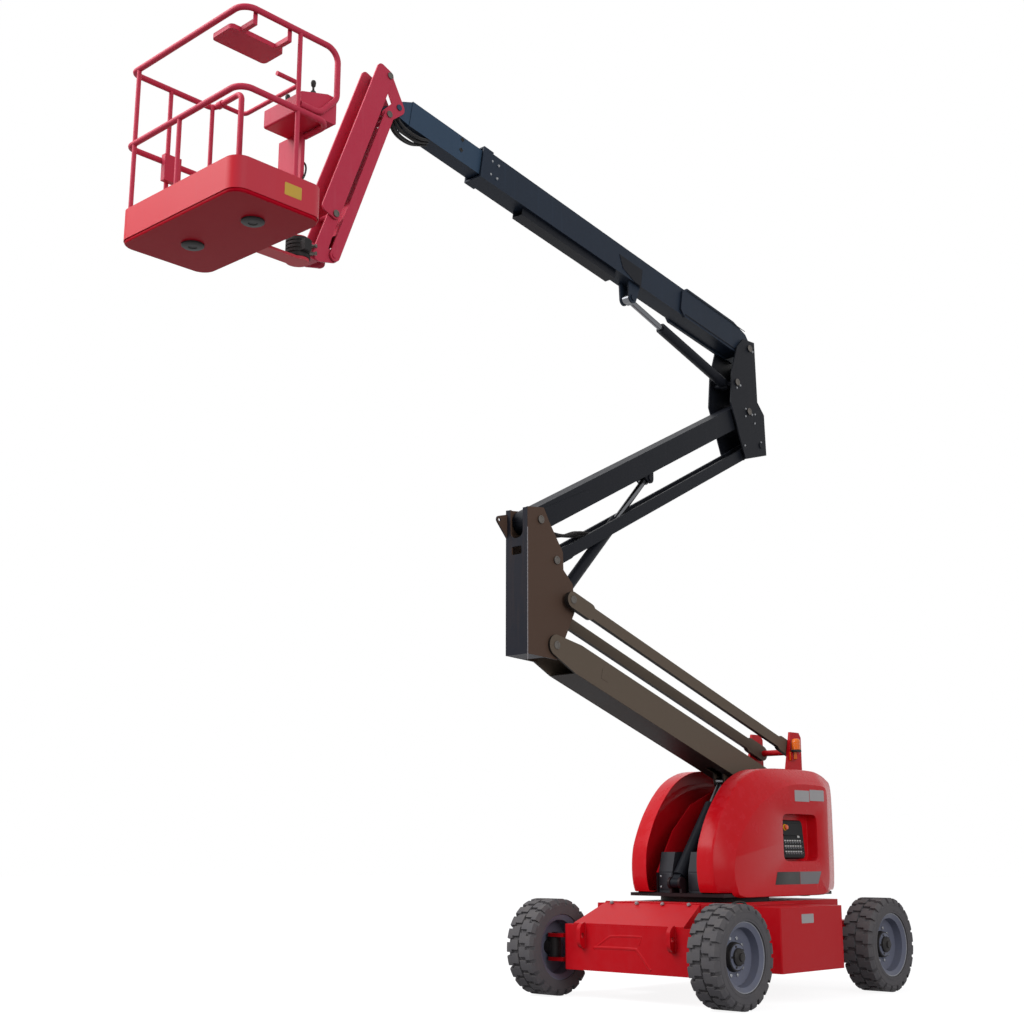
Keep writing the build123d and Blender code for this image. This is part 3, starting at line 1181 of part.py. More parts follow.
def control_console():
    """Return the console with its sloping panel, between the stand and the curl of the top rail."""
    rear = RAIL_REAR + CONSOLE_REAR
    front = RAIL_REAR + CONSOLE_FRONT
    low = MID_LEVEL + CONSOLE_LOW
    high = low + CONSOLE_HEIGHT
    top = high + CONSOLE_SLOPE
    side = outline((rear, low), (front, low), (front, high), (rear + 70, top), (rear, top))
    body = slab(side, CONSOLE_RIGHT, RAIL_SIDE - RAIL_TUBE - SEAT_GAP)
    return fillet(body.edges().filter_by(Axis.Y), 12)


def console_stand():
    """Return the folded stand that carries the console behind the toe band."""
    low = PLATFORM_BOTTOM + 30
    high = MID_LEVEL + CONSOLE_LOW - SEAT_GAP
    front = PLATFORM_REAR - SEAT_GAP
    width = STAND_LEFT - STAND_RIGHT
    middle = ((STAND_LEFT + STAND_RIGHT) / 2, (low + high) / 2)
    stand = Pos(front - STAND_DEPTH / 2, *middle) * Box(STAND_DEPTH, width, high - low)
    return stand - Pos(front - STAND_DEPTH, *middle) * Box(STAND_DEPTH, width - 8, high - low + 2)


def document_box():
    """Return the open-topped box for papers that hangs inside the right mid rail."""
    length = DOCUMENT_FRONT - DOCUMENT_REAR
    y = RAIL_TUBE + SEAT_GAP + DOCUMENT_DEPTH / 2 - RAIL_SIDE
    z = MID_LEVEL + 30 - DOCUMENT_HEIGHT / 2
    middle = Pos(RAIL_REAR + DOCUMENT_REAR + length / 2, y, z)
    box = middle * Box(length, DOCUMENT_DEPTH, DOCUMENT_HEIGHT)
    return box - middle * Pos(0, 0, 3) * Box(length - 6, DOCUMENT_DEPTH - 6, DOCUMENT_HEIGHT)


def entry_bar():
    """Return the bar behind the entry: a bent tube on a sleeve that turns on the rear of the top rail."""
    back = RAIL_REAR - ENTRY_BAR_REACH
    bar = tube_path(
        [
            (RAIL_REAR - RAIL_TUBE - 2, ENTRY_ARM, TOP_LEVEL),
            (back, ENTRY_ARM, TOP_LEVEL),
            (back, ENTRY_BAR_LEFT, TOP_LEVEL),
            (RAIL_REAR, ENTRY_BAR_LEFT, TOP_LEVEL),
        ],
        ENTRY_BAR_TUBE,
        45,
    )
    sleeve = Pos(RAIL_REAR, ENTRY_ARM, TOP_LEVEL) * Rot(90, 0, 0)
    bar += sleeve * Cylinder(RAIL_TUBE + 6, ENTRY_SLEEVE)
    return bar - sleeve * Cylinder(RAIL_TUBE + PIN_GAP, ENTRY_SLEEVE + 40)


# ============================== assembly ==============================
PARTS = {
    "chassis_frame": chassis_frame(),
    "front_beam": front_beam(),
    "rear_beam": rear_beam(),
    "chassis_hood": chassis_hood(),
    "side_box_left": side_box(1),
    "side_box_right": side_box(-1),
    "drive_batteries": drive_batteries(),
    "slew_ring": slew_ring(),
    "turntable_frame": turntable_frame(),
    "counterweight": counterweight(),
    "pump_unit": pump_unit(),
    "slot_block": slot_block(),
    "beacon": beacon(),
    "lower_boom": lower_boom(),
    "lower_links": links(LINK_REAR, LINK_FRONT, LINK_DEPTH, LINK_INNER, LINK_THICKNESS, LINK_END_DEPTH),
    "mid_upright": mid_upright(),
    "riser_boom": riser_boom(),
    "riser_links": links(
        RISER_LINK_FRONT,
        RISER_LINK_REAR,
        RISER_LINK_DEPTH,
        RISER_LINK_INNER,
        RISER_LINK_THICKNESS,
        RISER_LINK_END,
    ),
    "upper_upright": upper_upright(),
    "main_boom": main_boom(),
    "hose_tray": hose_tray(),
    "fly_boom": fly_boom(),
    "jib_base": jib_base(),
    "jib_upper_arm": jib_arm(JIB_UP_REAR, JIB_UPPER_ABOVE, JIB_BELOW, -1),
    "jib_lower_arm": jib_arm(JIB_LOW_REAR, JIB_BELOW, JIB_LOWER_ABOVE, 0),
    "jib_head": jib_head(),
    "rotator": rotator(),
    "platform_carrier": platform_carrier(),
    "platform_floor": platform_floor(),
    "top_rail": top_rail(),
    "mid_rail": mid_rail(),
    "rail_posts": rail_posts(),
    "platform_shelf": platform_shelf(),
    "control_console": control_console(),
    "console_stand": console_stand(),
    "document_box": document_box(),
    "entry_bar": entry_bar(),
    "ground_control": ground_control(),
}
for side, hand in ((1, "left"), (-1, "right")):
    PARTS[f"knuckle_{hand}"] = knuckle(side)
    PARTS[f"cover_{hand}"] = cover(side)
    for place, x in (("front", WHEELBASE / 2), ("rear", -WHEELBASE / 2)):
        PARTS[f"rim_{place}_{hand}"] = rim(x, side)
        PARTS[f"tyre_{place}_{hand}"] = tyre(x, side)
# cylinder name, its pins, barrel and rod radius, barrel and rod length, and base pin radius
CYLINDERS = (
    ("lower", LOWER_CYLINDER, 52.0, 29.0, 760.0, 700.0, EYE_PIN),
    ("riser", RISER_CYLINDER, 45.0, 25.0, 1000.0, 1100.0, PIN_RADIUS),
    ("main", MAIN_CYLINDER, 45.0, 25.0, 950.0, 1000.0, EYE_PIN),
)
for name, (base, eye), radius, rod_radius, barrel_length, rod_length, base_pin in CYLINDERS:
    PARTS[f"{name}_barrel"] = cylinder_barrel(base, eye, radius, rod_radius, barrel_length, base_pin)
    PARTS[f"{name}_rod"] = cylinder_rod(base, eye, rod_radius, rod_length)

boxes = [piece.bounding_box() for piece in PARTS.values()]
middle = (min(b.min.X for b in boxes) + max(b.max.X for b in boxes)) / 2
ground = min(b.min.Z for b in boxes)
os.makedirs("parts", exist_ok=True)
for name, piece in PARTS.items():
    export_step(Pos(-middle, 0, -ground) * piece, f"parts/{name}.step")
print("origin from the slew axis on the ground:", round(middle, 4), round(ground, 4))
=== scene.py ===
import json
import math

import bmesh
import bpy
import numpy as np
from mathutils import Matrix, Vector


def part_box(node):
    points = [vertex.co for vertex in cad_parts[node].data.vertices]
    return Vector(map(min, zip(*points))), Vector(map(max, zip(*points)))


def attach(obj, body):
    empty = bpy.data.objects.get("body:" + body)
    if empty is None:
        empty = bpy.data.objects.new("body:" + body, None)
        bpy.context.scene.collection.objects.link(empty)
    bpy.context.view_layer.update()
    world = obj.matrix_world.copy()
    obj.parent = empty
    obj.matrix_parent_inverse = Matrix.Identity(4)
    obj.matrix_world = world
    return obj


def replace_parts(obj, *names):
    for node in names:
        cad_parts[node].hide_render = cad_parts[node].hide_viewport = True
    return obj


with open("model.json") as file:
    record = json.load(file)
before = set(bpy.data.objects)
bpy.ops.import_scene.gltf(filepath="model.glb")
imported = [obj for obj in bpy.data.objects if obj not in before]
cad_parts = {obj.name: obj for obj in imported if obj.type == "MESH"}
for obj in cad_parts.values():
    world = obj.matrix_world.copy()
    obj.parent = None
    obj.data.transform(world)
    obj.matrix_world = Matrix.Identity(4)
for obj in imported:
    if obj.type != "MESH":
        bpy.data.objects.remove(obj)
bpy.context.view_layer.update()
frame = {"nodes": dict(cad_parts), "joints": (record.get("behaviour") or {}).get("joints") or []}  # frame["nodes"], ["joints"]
nodes = frame["nodes"]
pivot = {joint["name"]: np.array(joint["pos_m"]) for joint in frame["joints"] if "pos_m" in joint}


# ----------------------------------------------
# Welded chassis: a folded and welded steel tub with a box beam across each end.
# All of it is sprayed in one coat of gloss red over primer. Dust settles on what faces up and
# runs down in faint streaks, and the gloss is broken by orange peel.
# ----------------------------------------------
weathered = bpy.data.node_groups.new("weathered coat", "ShaderNodeTree")
for kind, name, value in (
    ("Color", "Coat", (1, 1, 1, 1)),
    ("Color", "Dust", (0.4, 0.37, 0.33, 1)),
    ("Float", "Dustiness", 0.2),
    ("Float", "Sides", 0.0),
    ("Float", "Fading", 0.1),
    ("Float", "Streaks", 0.1),
    ("Float", "Polish", 0.3),
    ("Float", "Peel", 0.1),
):
    made = weathered.interface.new_socket(name, in_out="INPUT", socket_type=f"NodeSocket{kind}")
    made.default_value = value
for kind, name in (("Color", "Colour"), ("Float", "Roughness"), ("Vector", "Normal")):
    weathered.interface.new_socket(name, in_out="OUTPUT", socket_type=f"NodeSocket{kind}")


def node(tree, kind, **settings):
    """Add a shader node and set its plain properties."""
    made = tree.nodes.new(kind)
    for key, value in settings.items():
        setattr(made, key, value)
    return made


def noise(tree, vector, scale, detail):
    """Add a cloud texture read at a vector."""
    made = node(tree, "ShaderNodeTexNoise")
    made.inputs["Scale"].default_value = scale
    made.inputs["Detail"].default_value = detail
    tree.links.new(vector, made.inputs["Vector"])
    return made.outputs["Fac"]


def remap(tree, value, low, high, to_low=0.0, to_high=1.0):
    """Add a clamped straight-line change of one range into another."""
    made = node(tree, "ShaderNodeMapRange")
    for name, number in (
        ("From Min", low), ("From Max", high), ("To Min", to_low), ("To Max", to_high),
    ):
        made.inputs[name].default_value = number
    tree.links.new(value, made.inputs["Value"])
    return made.outputs[0]


def arithmetic(tree, operation, first, second, third=None):
    """Add one sum, product or the like of sockets and plain numbers, kept between 0 and 1."""
    made = node(tree, "ShaderNodeMath", operation=operation, use_clamp=True)
    for slot, value in zip(made.inputs, (first, second, third)):
        if isinstance(value, (int, float)):
            slot.default_value = value
        elif value is not None:
            tree.links.new(value, slot)
    return made.outputs[0]


def blended(tree, amount, under, over):
    """Add a mix of two colours by an amount."""
    made = node(tree, "ShaderNodeMix", data_type="RGBA", blend_type="MIX")
    tree.links.new(amount, made.inputs["Factor"])
    tree.links.new(under, made.inputs["A"])
    tree.links.new(over, made.inputs["B"])
    return made.outputs["Result"]


def build_weathered(tree):
    """Colour = coat, paler in broad clouds by Fading and in upright runs by Streaks, under dust.

    Dust gathers where the surface points up, broken by grit, and as a film on the surfaces that
    point sideways, by Sides; roughness grows with it and with the streaks. On the red cover shell
    this up-facing layer is pale pink and is a painted reflection of the sky on the faces and bevel
    that point up, with only a little real soiling in it. The normal carries a fine ripple of height
    Peel.
    """
    given = node(tree, "NodeGroupInput")
    out = node(tree, "NodeGroupOutput")
    place = node(tree, "ShaderNodeTexCoord").outputs["Object"]
    drawn_out = node(tree, "ShaderNodeMapping")
    drawn_out.inputs["Scale"].default_value = (1.0, 1.0, 0.06)
    tree.links.new(place, drawn_out.inputs["Vector"])
    cloud = noise(tree, place, 1.7, 3.0)
    grit = noise(tree, place, 14.0, 5.0)
    run = noise(tree, drawn_out.outputs[0], 26.0, 3.0)
    faded = arithmetic(tree, "MULTIPLY", cloud, given.outputs["Fading"])
    pale = blended(tree, faded, given.outputs["Coat"], given.outputs["Dust"])
    streak = arithmetic(tree, "MULTIPLY", remap(tree, run, 0.56, 0.78), given.outputs["Streaks"])
    streaked = blended(tree, streak, pale, given.outputs["Dust"])
    split = node(tree, "ShaderNodeSeparateXYZ")
    tree.links.new(node(tree, "ShaderNodeNewGeometry").outputs["Normal"], split.inputs[0])
    upward = remap(tree, split.outputs["Z"], -0.1, 1.0, 0.18, 1.0)
    layer = arithmetic(tree, "MULTIPLY", upward, remap(tree, grit, 0.35, 0.75))
    dust_and_sheen_depth = arithmetic(tree, "MULTIPLY", layer, given.outputs["Dustiness"])
    sideways = arithmetic(tree, "ABSOLUTE", split.outputs["Y"], 0.0)
    film = arithmetic(tree, "MULTIPLY", remap(tree, sideways, 0.5, 0.9), given.outputs["Sides"])
    filmed = blended(tree, film, streaked, given.outputs["Dust"])
    dust_and_sheen_laid = blended(tree, dust_and_sheen_depth, filmed, given.outputs["Dust"])
    tree.links.new(dust_and_sheen_laid, out.inputs["Colour"])
    dull = arithmetic(tree, "MULTIPLY_ADD", dust_and_sheen_depth, 0.6, given.outputs["Polish"])
    smeared = arithmetic(tree, "MULTIPLY_ADD", streak, 0.35, dull)
    tree.links.new(arithmetic(tree, "MULTIPLY_ADD", cloud, 0.08, smeared), out.inputs["Roughness"])
    ripple = node(tree, "ShaderNodeBump")
    ripple.inputs["Distance"].default_value = 0.002
    tree.links.new(given.outputs["Peel"], ripple.inputs["Strength"])
    tree.links.new(noise(tree, place, 160.0, 1.0), ripple.inputs["Height"])
    tree.links.new(ripple.outputs["Normal"], out.inputs["Normal"])


build_weathered(weathered)


def tint(red, green, blue):
    """Turn a colour written as 0 to 255 display values into the renderer's linear light values."""
    shown = np.array([red, green, blue]) / 255
    linear = np.where(shown <= 0.04045, shown / 12.92, ((shown + 0.055) / 1.055) ** 2.4)
    return (*linear.tolist(), 1.0)


def coated(name, colour, dust_and_sheen=(104, 98, 92), metal=0.0, coat=0.0, mirror=0.2, painted_shade_below=None, **amounts):
    """A finish whose colour, roughness and ripple come from the weathered coat group.

    An optional level in metres and a dark colour: everything under that level takes the dark colour, as
    painted shade.
    """
    material = bpy.data.materials.new(name)
    material.use_nodes = True
    tree = material.node_tree
    shader = tree.nodes["Principled BSDF"]
    group = node(tree, "ShaderNodeGroup", node_tree=weathered)
    group.inputs["Coat"].default_value = tint(*colour)
    group.inputs["Dust"].default_value = tint(*dust_and_sheen)
    for key, value in amounts.items():
        group.inputs[key].default_value = value
    if painted_shade_below:
        level, second = painted_shade_below
        high = node(tree, "ShaderNodeSeparateXYZ")
        tree.links.new(node(tree, "ShaderNodeTexCoord").outputs["Object"], high.inputs[0])
        mixed = node(tree, "ShaderNodeMix", data_type="RGBA")
        mixed.inputs["A"].default_value = tint(*second)
        mixed.inputs["B"].default_value = tint(*colour)
        tree.links.new(remap(tree, high.outputs["Z"], level, level + 0.002), mixed.inputs["Factor"])
        tree.links.new(mixed.outputs["Result"], group.inputs["Coat"])
    tree.links.new(group.outputs["Colour"], shader.inputs["Base Color"])
    tree.links.new(group.outputs["Roughness"], shader.inputs["Roughness"])
    tree.links.new(group.outputs["Normal"], shader.inputs["Normal"])
    shader.inputs["Metallic"].default_value = metal
    shader.inputs["Specular IOR Level"].default_value = mirror
    shader.inputs["Coat Weight"].default_value = coat
    shader.inputs["Coat Roughness"].default_value = 0.1
    return material


def finish(material, *names):
    """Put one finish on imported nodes."""
    for name in names:
        nodes[name].data.materials.clear()
        nodes[name].data.materials.append(material)
        nodes[name].data.set_sharp_from_angle(angle=math.radians(32))


red_gloss = coated(
    "red gloss on steel", (190, 4, 20), dust_and_sheen=(176, 92, 100), Polish=0.3, Dustiness=0.2, Fading=0.02,
    Streaks=0.04, mirror=0.12,
)
finish(
    red_gloss, "chassis_frame", "front_beam", "rear_beam", "chassis_hood", "side_box_left",
    "side_box_right",
)
black_iron = coated("black unpainted iron", (20, 20, 23), Polish=0.55, Dustiness=0.2)
finish(black_iron, "knuckle_left", "knuckle_right", "drive_batteries")

slew = pivot["slew"]


def spot(x, y, z):
    """A point measured from the slew axis on the ground: forwards, to the left and up, in metres."""
    return np.array([slew[0] + x, y, z])


def faces_of(grid, wrap, rounded):
    """Squares between neighbours in a grid; wrap joins the last column to the first."""
    rows, columns = grid.shape[:2]
    index = np.arange(rows * columns).reshape(rows, columns)
    if rounded:
        index = np.vstack([index, index[:1]])
    after = np.roll(index, -1, axis=1) if wrap else index[:, 1:]
    here = index if wrap else index[:, :-1]
    squares = np.stack([here[:-1], after[:-1], after[1:], here[1:]], axis=-1).reshape(-1, 4).tolist()
    if wrap and not rounded:
        squares += [index[0][::-1].tolist(), index[-1].tolist()]
    return squares


def piece(name, body, slot, material, *grids, crease=38):
    """Join grids of points into one piece on a body: closed sections, capped at both ends.

    A grid is an array of rows by columns by 3, or such an array with the word "ring" for one whose
    rows also close on themselves, or "sheet" for one that is open all round.
    """
    corners, faces = [], []
    for grid in grids:
        grid, form = grid if isinstance(grid, tuple) else (grid, "solid")
        start = sum(len(part) for part in corners)
        corners.append(grid.reshape(-1, 3))
        faces += [[start + k for k in face] for face in faces_of(grid, form != "sheet", form == "ring")]
    mesh = bpy.data.meshes.new(name)
    mesh.from_pydata(np.vstack(corners).tolist(), [], faces)
    work = bmesh.new()
    work.from_mesh(mesh)
    bmesh.ops.remove_doubles(work, verts=work.verts, dist=1e-6)
    bmesh.ops.dissolve_degenerate(work, edges=work.edges, dist=1e-7)
    bmesh.ops.recalc_face_normals(work, faces=work.faces)
    work.to_mesh(mesh)
    work.free()
    mesh.materials.append(material)
    mesh.polygons.foreach_set("use_smooth", [True] * len(mesh.polygons))
    mesh.set_sharp_from_angle(angle=math.radians(crease))
    made = bpy.data.objects.new(name, mesh)
    bpy.context.scene.collection.objects.link(made)
    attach(made, body)
    return made


def smooth_line(*points, steps=8):
    """Points along a curve through the given ones: each run is the cubic of its four nearest points."""
    given = np.array(points, float)
    given = np.vstack([2 * given[0] - given[1], given, 2 * given[-1] - given[-2]])
    t = np.linspace(0, 1, steps, endpoint=False)[:, None, None]
    a, b, c, d = given[:-3], given[1:-2], given[2:-1], given[3:]
    runs = 0.5 * (
        2 * b + (c - a) * t + (2 * a - 5 * b + 4 * c - d) * t**2 + (3 * b - a - 3 * c + d) * t**3
    )
    return np.vstack([runs.transpose(1, 0, 2).reshape(-1, given.shape[1]), given[-2]])


def carried(path, radius, lean=(0, 1, 0), sides=8, flat=1.0):
    """A round section carried along a path: path + radius * (cos(a) * side + flat * sin(a) * top).

    Side lies square to the path and to lean; radius is one number or one for each point of the path.
    """
    tangent = np.gradient(path, axis=0)
    side = np.cross(tangent, lean)
    side /= np.linalg.norm(side, axis=1, keepdims=True)
    top = np.cross(side, tangent)
    top /= np.linalg.norm(top, axis=1, keepdims=True)
    angle = np.linspace(0, 2 * np.pi, sides, endpoint=False)[None, :, None]
    reach = np.broadcast_to(radius, len(path))[:, None, None]
    return path[:, None] + reach * (np.cos(angle) * side[:, None] + flat * np.sin(angle) * top[:, None])


def straight(start, end, count):
    """Evenly spaced points on a straight run."""
    t = np.linspace(0, 1, count)[:, None]
    return np.array(start) * (1 - t) + np.array(end) * t


def weld(start, end, size=0.004, pitch=0.012, lean=(0, 0.2, 1)):
    """A weld bead on a straight run: the radius swells and sinks once in every pitch along it."""
    length = float(np.linalg.norm(np.array(end) - np.array(start)))
    count = max(8, int(length / pitch) * 3)
    swell = size * (1 + 0.16 * np.sin(np.linspace(0, 2 * np.pi * length / pitch, count)))
    return carried(straight(start, end, count), swell, lean=lean, sides=6)


def turned(profile, centre, axis, sides=28, corners=0):
    """Stations (radius, height) turned about an axis; with corners, the round is cut to a polygon.

    point = centre + height * axis + radius * shrink * (cos(angle) * across + sin(angle) * over), where
    shrink = cos(half a flat's angle) / cos(angle from the middle of the flat).
    """
    axis = np.array(axis, float) / np.linalg.norm(axis)
    across = np.cross(axis, (0, 0, 1) if abs(axis[2]) < 0.9 else (1, 0, 0))
    across /= np.linalg.norm(across)
    over = np.cross(axis, across)
    angle = np.linspace(0, 2 * np.pi, sides, endpoint=False)
    shrink = 1.0
    if corners:
        flat = 2 * np.pi / corners
        shrink = np.cos(flat / 2) / np.cos(angle % flat - flat / 2)
    spokes = (np.cos(angle) * shrink)[:, None] * across + (np.sin(angle) * shrink)[:, None] * over
    radius, height = np.array(profile, float).T
    return np.array(centre) + height[:, None, None] * axis + radius[:, None, None] * spokes


def bolt(centre, axis, size=0.010):
    """A hexagon bolt head on a round washer; size is half the head's width across flats."""
    washer = (
        (1.25 * size, 0), (1.3 * size, 0.12 * size), (1.3 * size, 0.3 * size),
        (1.2 * size, 0.36 * size),
    )
    head = (
        (1.1 * size, 0.3 * size), (1.15 * size, 0.95 * size), (0.98 * size, 1.12 * size),
        (0, 1.14 * size),
    )
    return turned(washer, centre, axis, sides=18), turned(head, centre, axis, sides=24, corners=6)


def bolts(points, axis, size=0.010):
    """Bolt heads at several points, as a flat list of grids."""
    return [grid for point in points for grid in bolt(point, axis, size)]


zinc = coated("zinc plated bolt", (150, 152, 156), Polish=0.32, Dustiness=0.3, Peel=0.2, metal=0.85)
piece(
    "chassis_welds", "chassis", "red_paint", red_gloss,
    weld(spot(0.802, -0.44, 0.693), spot(0.802, 0.44, 0.693)),
    weld(spot(0.924, -0.508, 0.533), spot(0.924, -0.452, 0.533)),
    *[
        weld(spot(1.100, s * (0.416 + d), 0.535), spot(1.100, s * (0.416 + d), 0.362))
        for s in (1, -1)
        for d in (-0.02, 0.02)
    ],
    *[weld(spot(-0.45, s * 0.452, 0.668), spot(0.40, s * 0.452, 0.668)) for s in (1, -1)],
)
# a flattened bead is pressed forwards into the front plate, as a stiffener
pressed = smooth_line(
    spot(1.1, -0.31, 0.365),
    spot(1.1, -0.28, 0.372),
    spot(1.1, 0.04, 0.374),
    spot(1.1, 0.095, 0.358),
    spot(1.1, 0.19, 0.252),
    spot(1.1, 0.21, 0.235),
)
loop = smooth_line(
    spot(1.1, -0.30, 0.374),
    spot(1.1, -0.19, 0.44),
    spot(1.1, -0.13, 0.458),
    spot(1.1, 0.10, 0.462),
    spot(1.1, 0.125, 0.455),
    spot(1.1, 0.105, 0.405),
)
piece(
    "front_pressing", "chassis", "red_paint", red_gloss,
    carried(pressed, 0.011, lean=(1, 0, 0), flat=0.35),
    carried(loop, 0.008, lean=(1, 0, 0), flat=0.35),
)
piece(
    "chassis_bolts", "chassis", "steel", zinc,
    *bolts([spot(0.83, y, 0.683) for y in (-0.36, -0.12, 0.12, 0.36)], (0.5, 0, 1), 0.012),
)

# ----------------------------------------------
# Blank marker plates: thin printed sheet, riveted or stuck on, left empty. Grey ones sit on the
# left cover and the left side box, and a yellow one on the platform's toe band.
# ----------------------------------------------
def rounded(length, width, corner, per=4):
    """A rounded rectangle's outline: each corner's centre plus corner * (cos, sin), anticlockwise."""
    turn = np.arange(4)[:, None] * np.pi / 2 + np.linspace(0, np.pi / 2, per)
    along = np.array([1, -1, -1, 1])[:, None] * (length / 2 - corner) + corner * np.cos(turn)
    up = np.array([1, 1, -1, -1])[:, None] * (width / 2 - corner) + corner * np.sin(turn)
    return np.stack([along.ravel(), up.ravel()], axis=1)


def sheet_metal(shape, centre, along, up, thickness, edge=0.0006):
    """A plate of an outline in its own plane, standing out from centre by its thickness, edges eased.

    point = centre + (x * along + y * up) * (1 - inset / reach) + height * (along x up), with four
    stations of inset and height round the plate's edge.
    """
    along, up = (np.array(v, float) / np.linalg.norm(v) for v in (along, up))
    middle = shape.mean(axis=0)
    reach = np.abs(shape - middle).max()
    inset = np.array([0.0, 0.0, 0.0, edge])
    height = np.array([0.0, thickness * 0.5, thickness - min(edge, thickness / 2), thickness])
    inner = middle + (shape - middle)[None] * (1 - inset / reach)[:, None, None]
    flat = inner[..., :1] * along + inner[..., 1:] * up
    return np.array(centre) + flat + height[:, None, None] * np.cross(along, up)


BACK = (-1, 0, 0)  # along a left face as it is seen, with the top upwards
UP = (0, 0, 1)
plate_grey = coated("blank grey plate", (168, 166, 168), Polish=0.35, Dustiness=0.12, Streaks=0.1)
cover_face = 0.4701
plate_places = ((-0.578, 1.499), (-0.80, 1.508))
plate = [
    sheet_metal(rounded(0.215, 0.088, 0.008), spot(x, cover_face, z), BACK, UP, 0.0016)
    for x, z in plate_places
]
piece("cover_plates", "cover_left", "rim_paint", plate_grey, *plate)
piece(
    "cover_plate_rivets", "cover_left", "steel", zinc,
    *[
        turned(
            ((0.004, 0), (0.0035, 0.0012), (0, 0.0018)), spot(x + dx, cover_face + 0.0015, z + dz),
            (0, 1, 0), sides=10,
        )
        for x, z in plate_places
        for dx in (-0.098, 0.098)
        for dz in (-0.035, 0.035)
    ],
)
strip = (
    ("dark", (24, 26, 25), ((-0.30, 0.048), (-0.335, -0.048), (0.02, -0.048), (0.02, 0.048))),
    ("grey", (122, 120, 124), ((0.024, 0.048), (0.024, -0.048), (0.285, -0.048), (0.34, 0.048))),
)
for shade, colour, shape in strip:
    film = coated(f"{shade} blank film", colour, Polish=0.35, Dustiness=0.1)
    sheet = sheet_metal(np.array(shape)[::-1], spot(-0.48, cover_face, 0.862), BACK, UP, 0.0008)
    piece(
        f"cover_strip_{shade}", "cover_left", "black_plastic" if shade == "dark" else "rim_paint", film,
        sheet,
    )
piece(
    "box_plate", "chassis", "rim_paint", plate_grey,
    sheet_metal(rounded(0.165, 0.066, 0.006), spot(0.04, 0.8602, 0.581), BACK, UP, 0.0014),
)

# ----------------------------------------------
# Valve fittings at the front of the left side box: a brass block with capped ports, screwed on
# the chassis wall, and a short hose from it.
# ----------------------------------------------
brass = coated("brass fitting", (176, 148, 96), Polish=0.34, Dustiness=0.3, metal=0.8)
rubber = coated("black hose rubber", (22, 23, 25), Polish=0.5, Dustiness=0.3, Peel=0.3)
port = ((0.017, 0), (0.017, 0.02), (0.013, 0.022), (0.013, 0.034), (0.010, 0.038), (0, 0.038))
piece(
    "chassis_valve", "chassis", "steel", brass,
    turned(port, spot(0.455, 0.56, 0.625), (0, 0, 1), sides=18, corners=6),
    turned(port, spot(0.455, 0.61, 0.625), (0, 0, 1), sides=18, corners=6),
    sheet_metal(
        rounded(0.10, 0.036, 0.006), spot(0.455, 0.585, 0.593), (0, 1, 0), (-1, 0, 0), 0.033, 0.003,
    ),
    sheet_metal(
        rounded(0.05, 0.03, 0.004), spot(0.455, 0.451, 0.61), (-1, 0, 0), (0, 0, 1), 0.12, 0.002,
    ),
)
piece(
    "chassis_valve_hose", "chassis", "black_plastic", rubber,
    carried(
        smooth_line(
            spot(0.455, 0.61, 0.66), spot(0.47, 0.60, 0.695), spot(0.50, 0.55, 0.70),
            spot(0.53, 0.49, 0.665), spot(0.535, 0.455, 0.62),
        ),
        0.008,
        lean=(1, 0.3, 0),
    ),
)

# ----------------------------------------------
# Wheels: pressed steel discs in grey paint with a rolled lip, whose paler grey is a painted
# highlight, held by ten studs on a black drive hub, and solid non-marking tyres in grey rubber
# that are pressed over them.
# ----------------------------------------------
grey_rubber = coated(
    "grey tyre rubber", (82, 81, 86), dust_and_sheen=(128, 122, 116), Polish=0.78, Dustiness=0.4,
    Fading=0.2, Streaks=0.12, Peel=0.6,
)
wheel_grey = coated("grey wheel paint", (100, 104, 122), Polish=0.34, Dustiness=0.3, Fading=0.1)
# the lip's paler grey is a painted highlight along the rim's edge
lip_highlight_grey = coated("rolled wheel lip", (150, 152, 160), Polish=0.28, Dustiness=0.2)
hub_black = coated("black hub casting", (26, 25, 27), Polish=0.45, Dustiness=0.25, Peel=0.6)
tyre_y = abs(pivot["wheel_front_left_spin"][1])
lip = (
    (0.2355, -0.004), (0.2405, 0.001), (0.2405, 0.006), (0.2365, 0.009), (0.232, 0.006),
    (0.231, -0.002),
)
rib = ((0.2585, -0.004), (0.2600, 0.0015), (0.2660, 0.0015), (0.2675, -0.004))
rib_out = ((0.3005, -0.004), (0.3020, 0.0012), (0.3060, 0.0012), (0.3075, -0.004))
disc_face = 0.017  # outer face of the disc from the tyre's middle plane
hub_top = disc_face + 0.040
stud_circle, hub_circle, stud_count = 0.128, 0.072, 10
cap = (
    (0.060, 0), (0.060, 0.018), (0.052, 0.028), (0.030, 0.034), (0.028, 0.044), (0.012, 0.047),
    (0, 0.047),
)
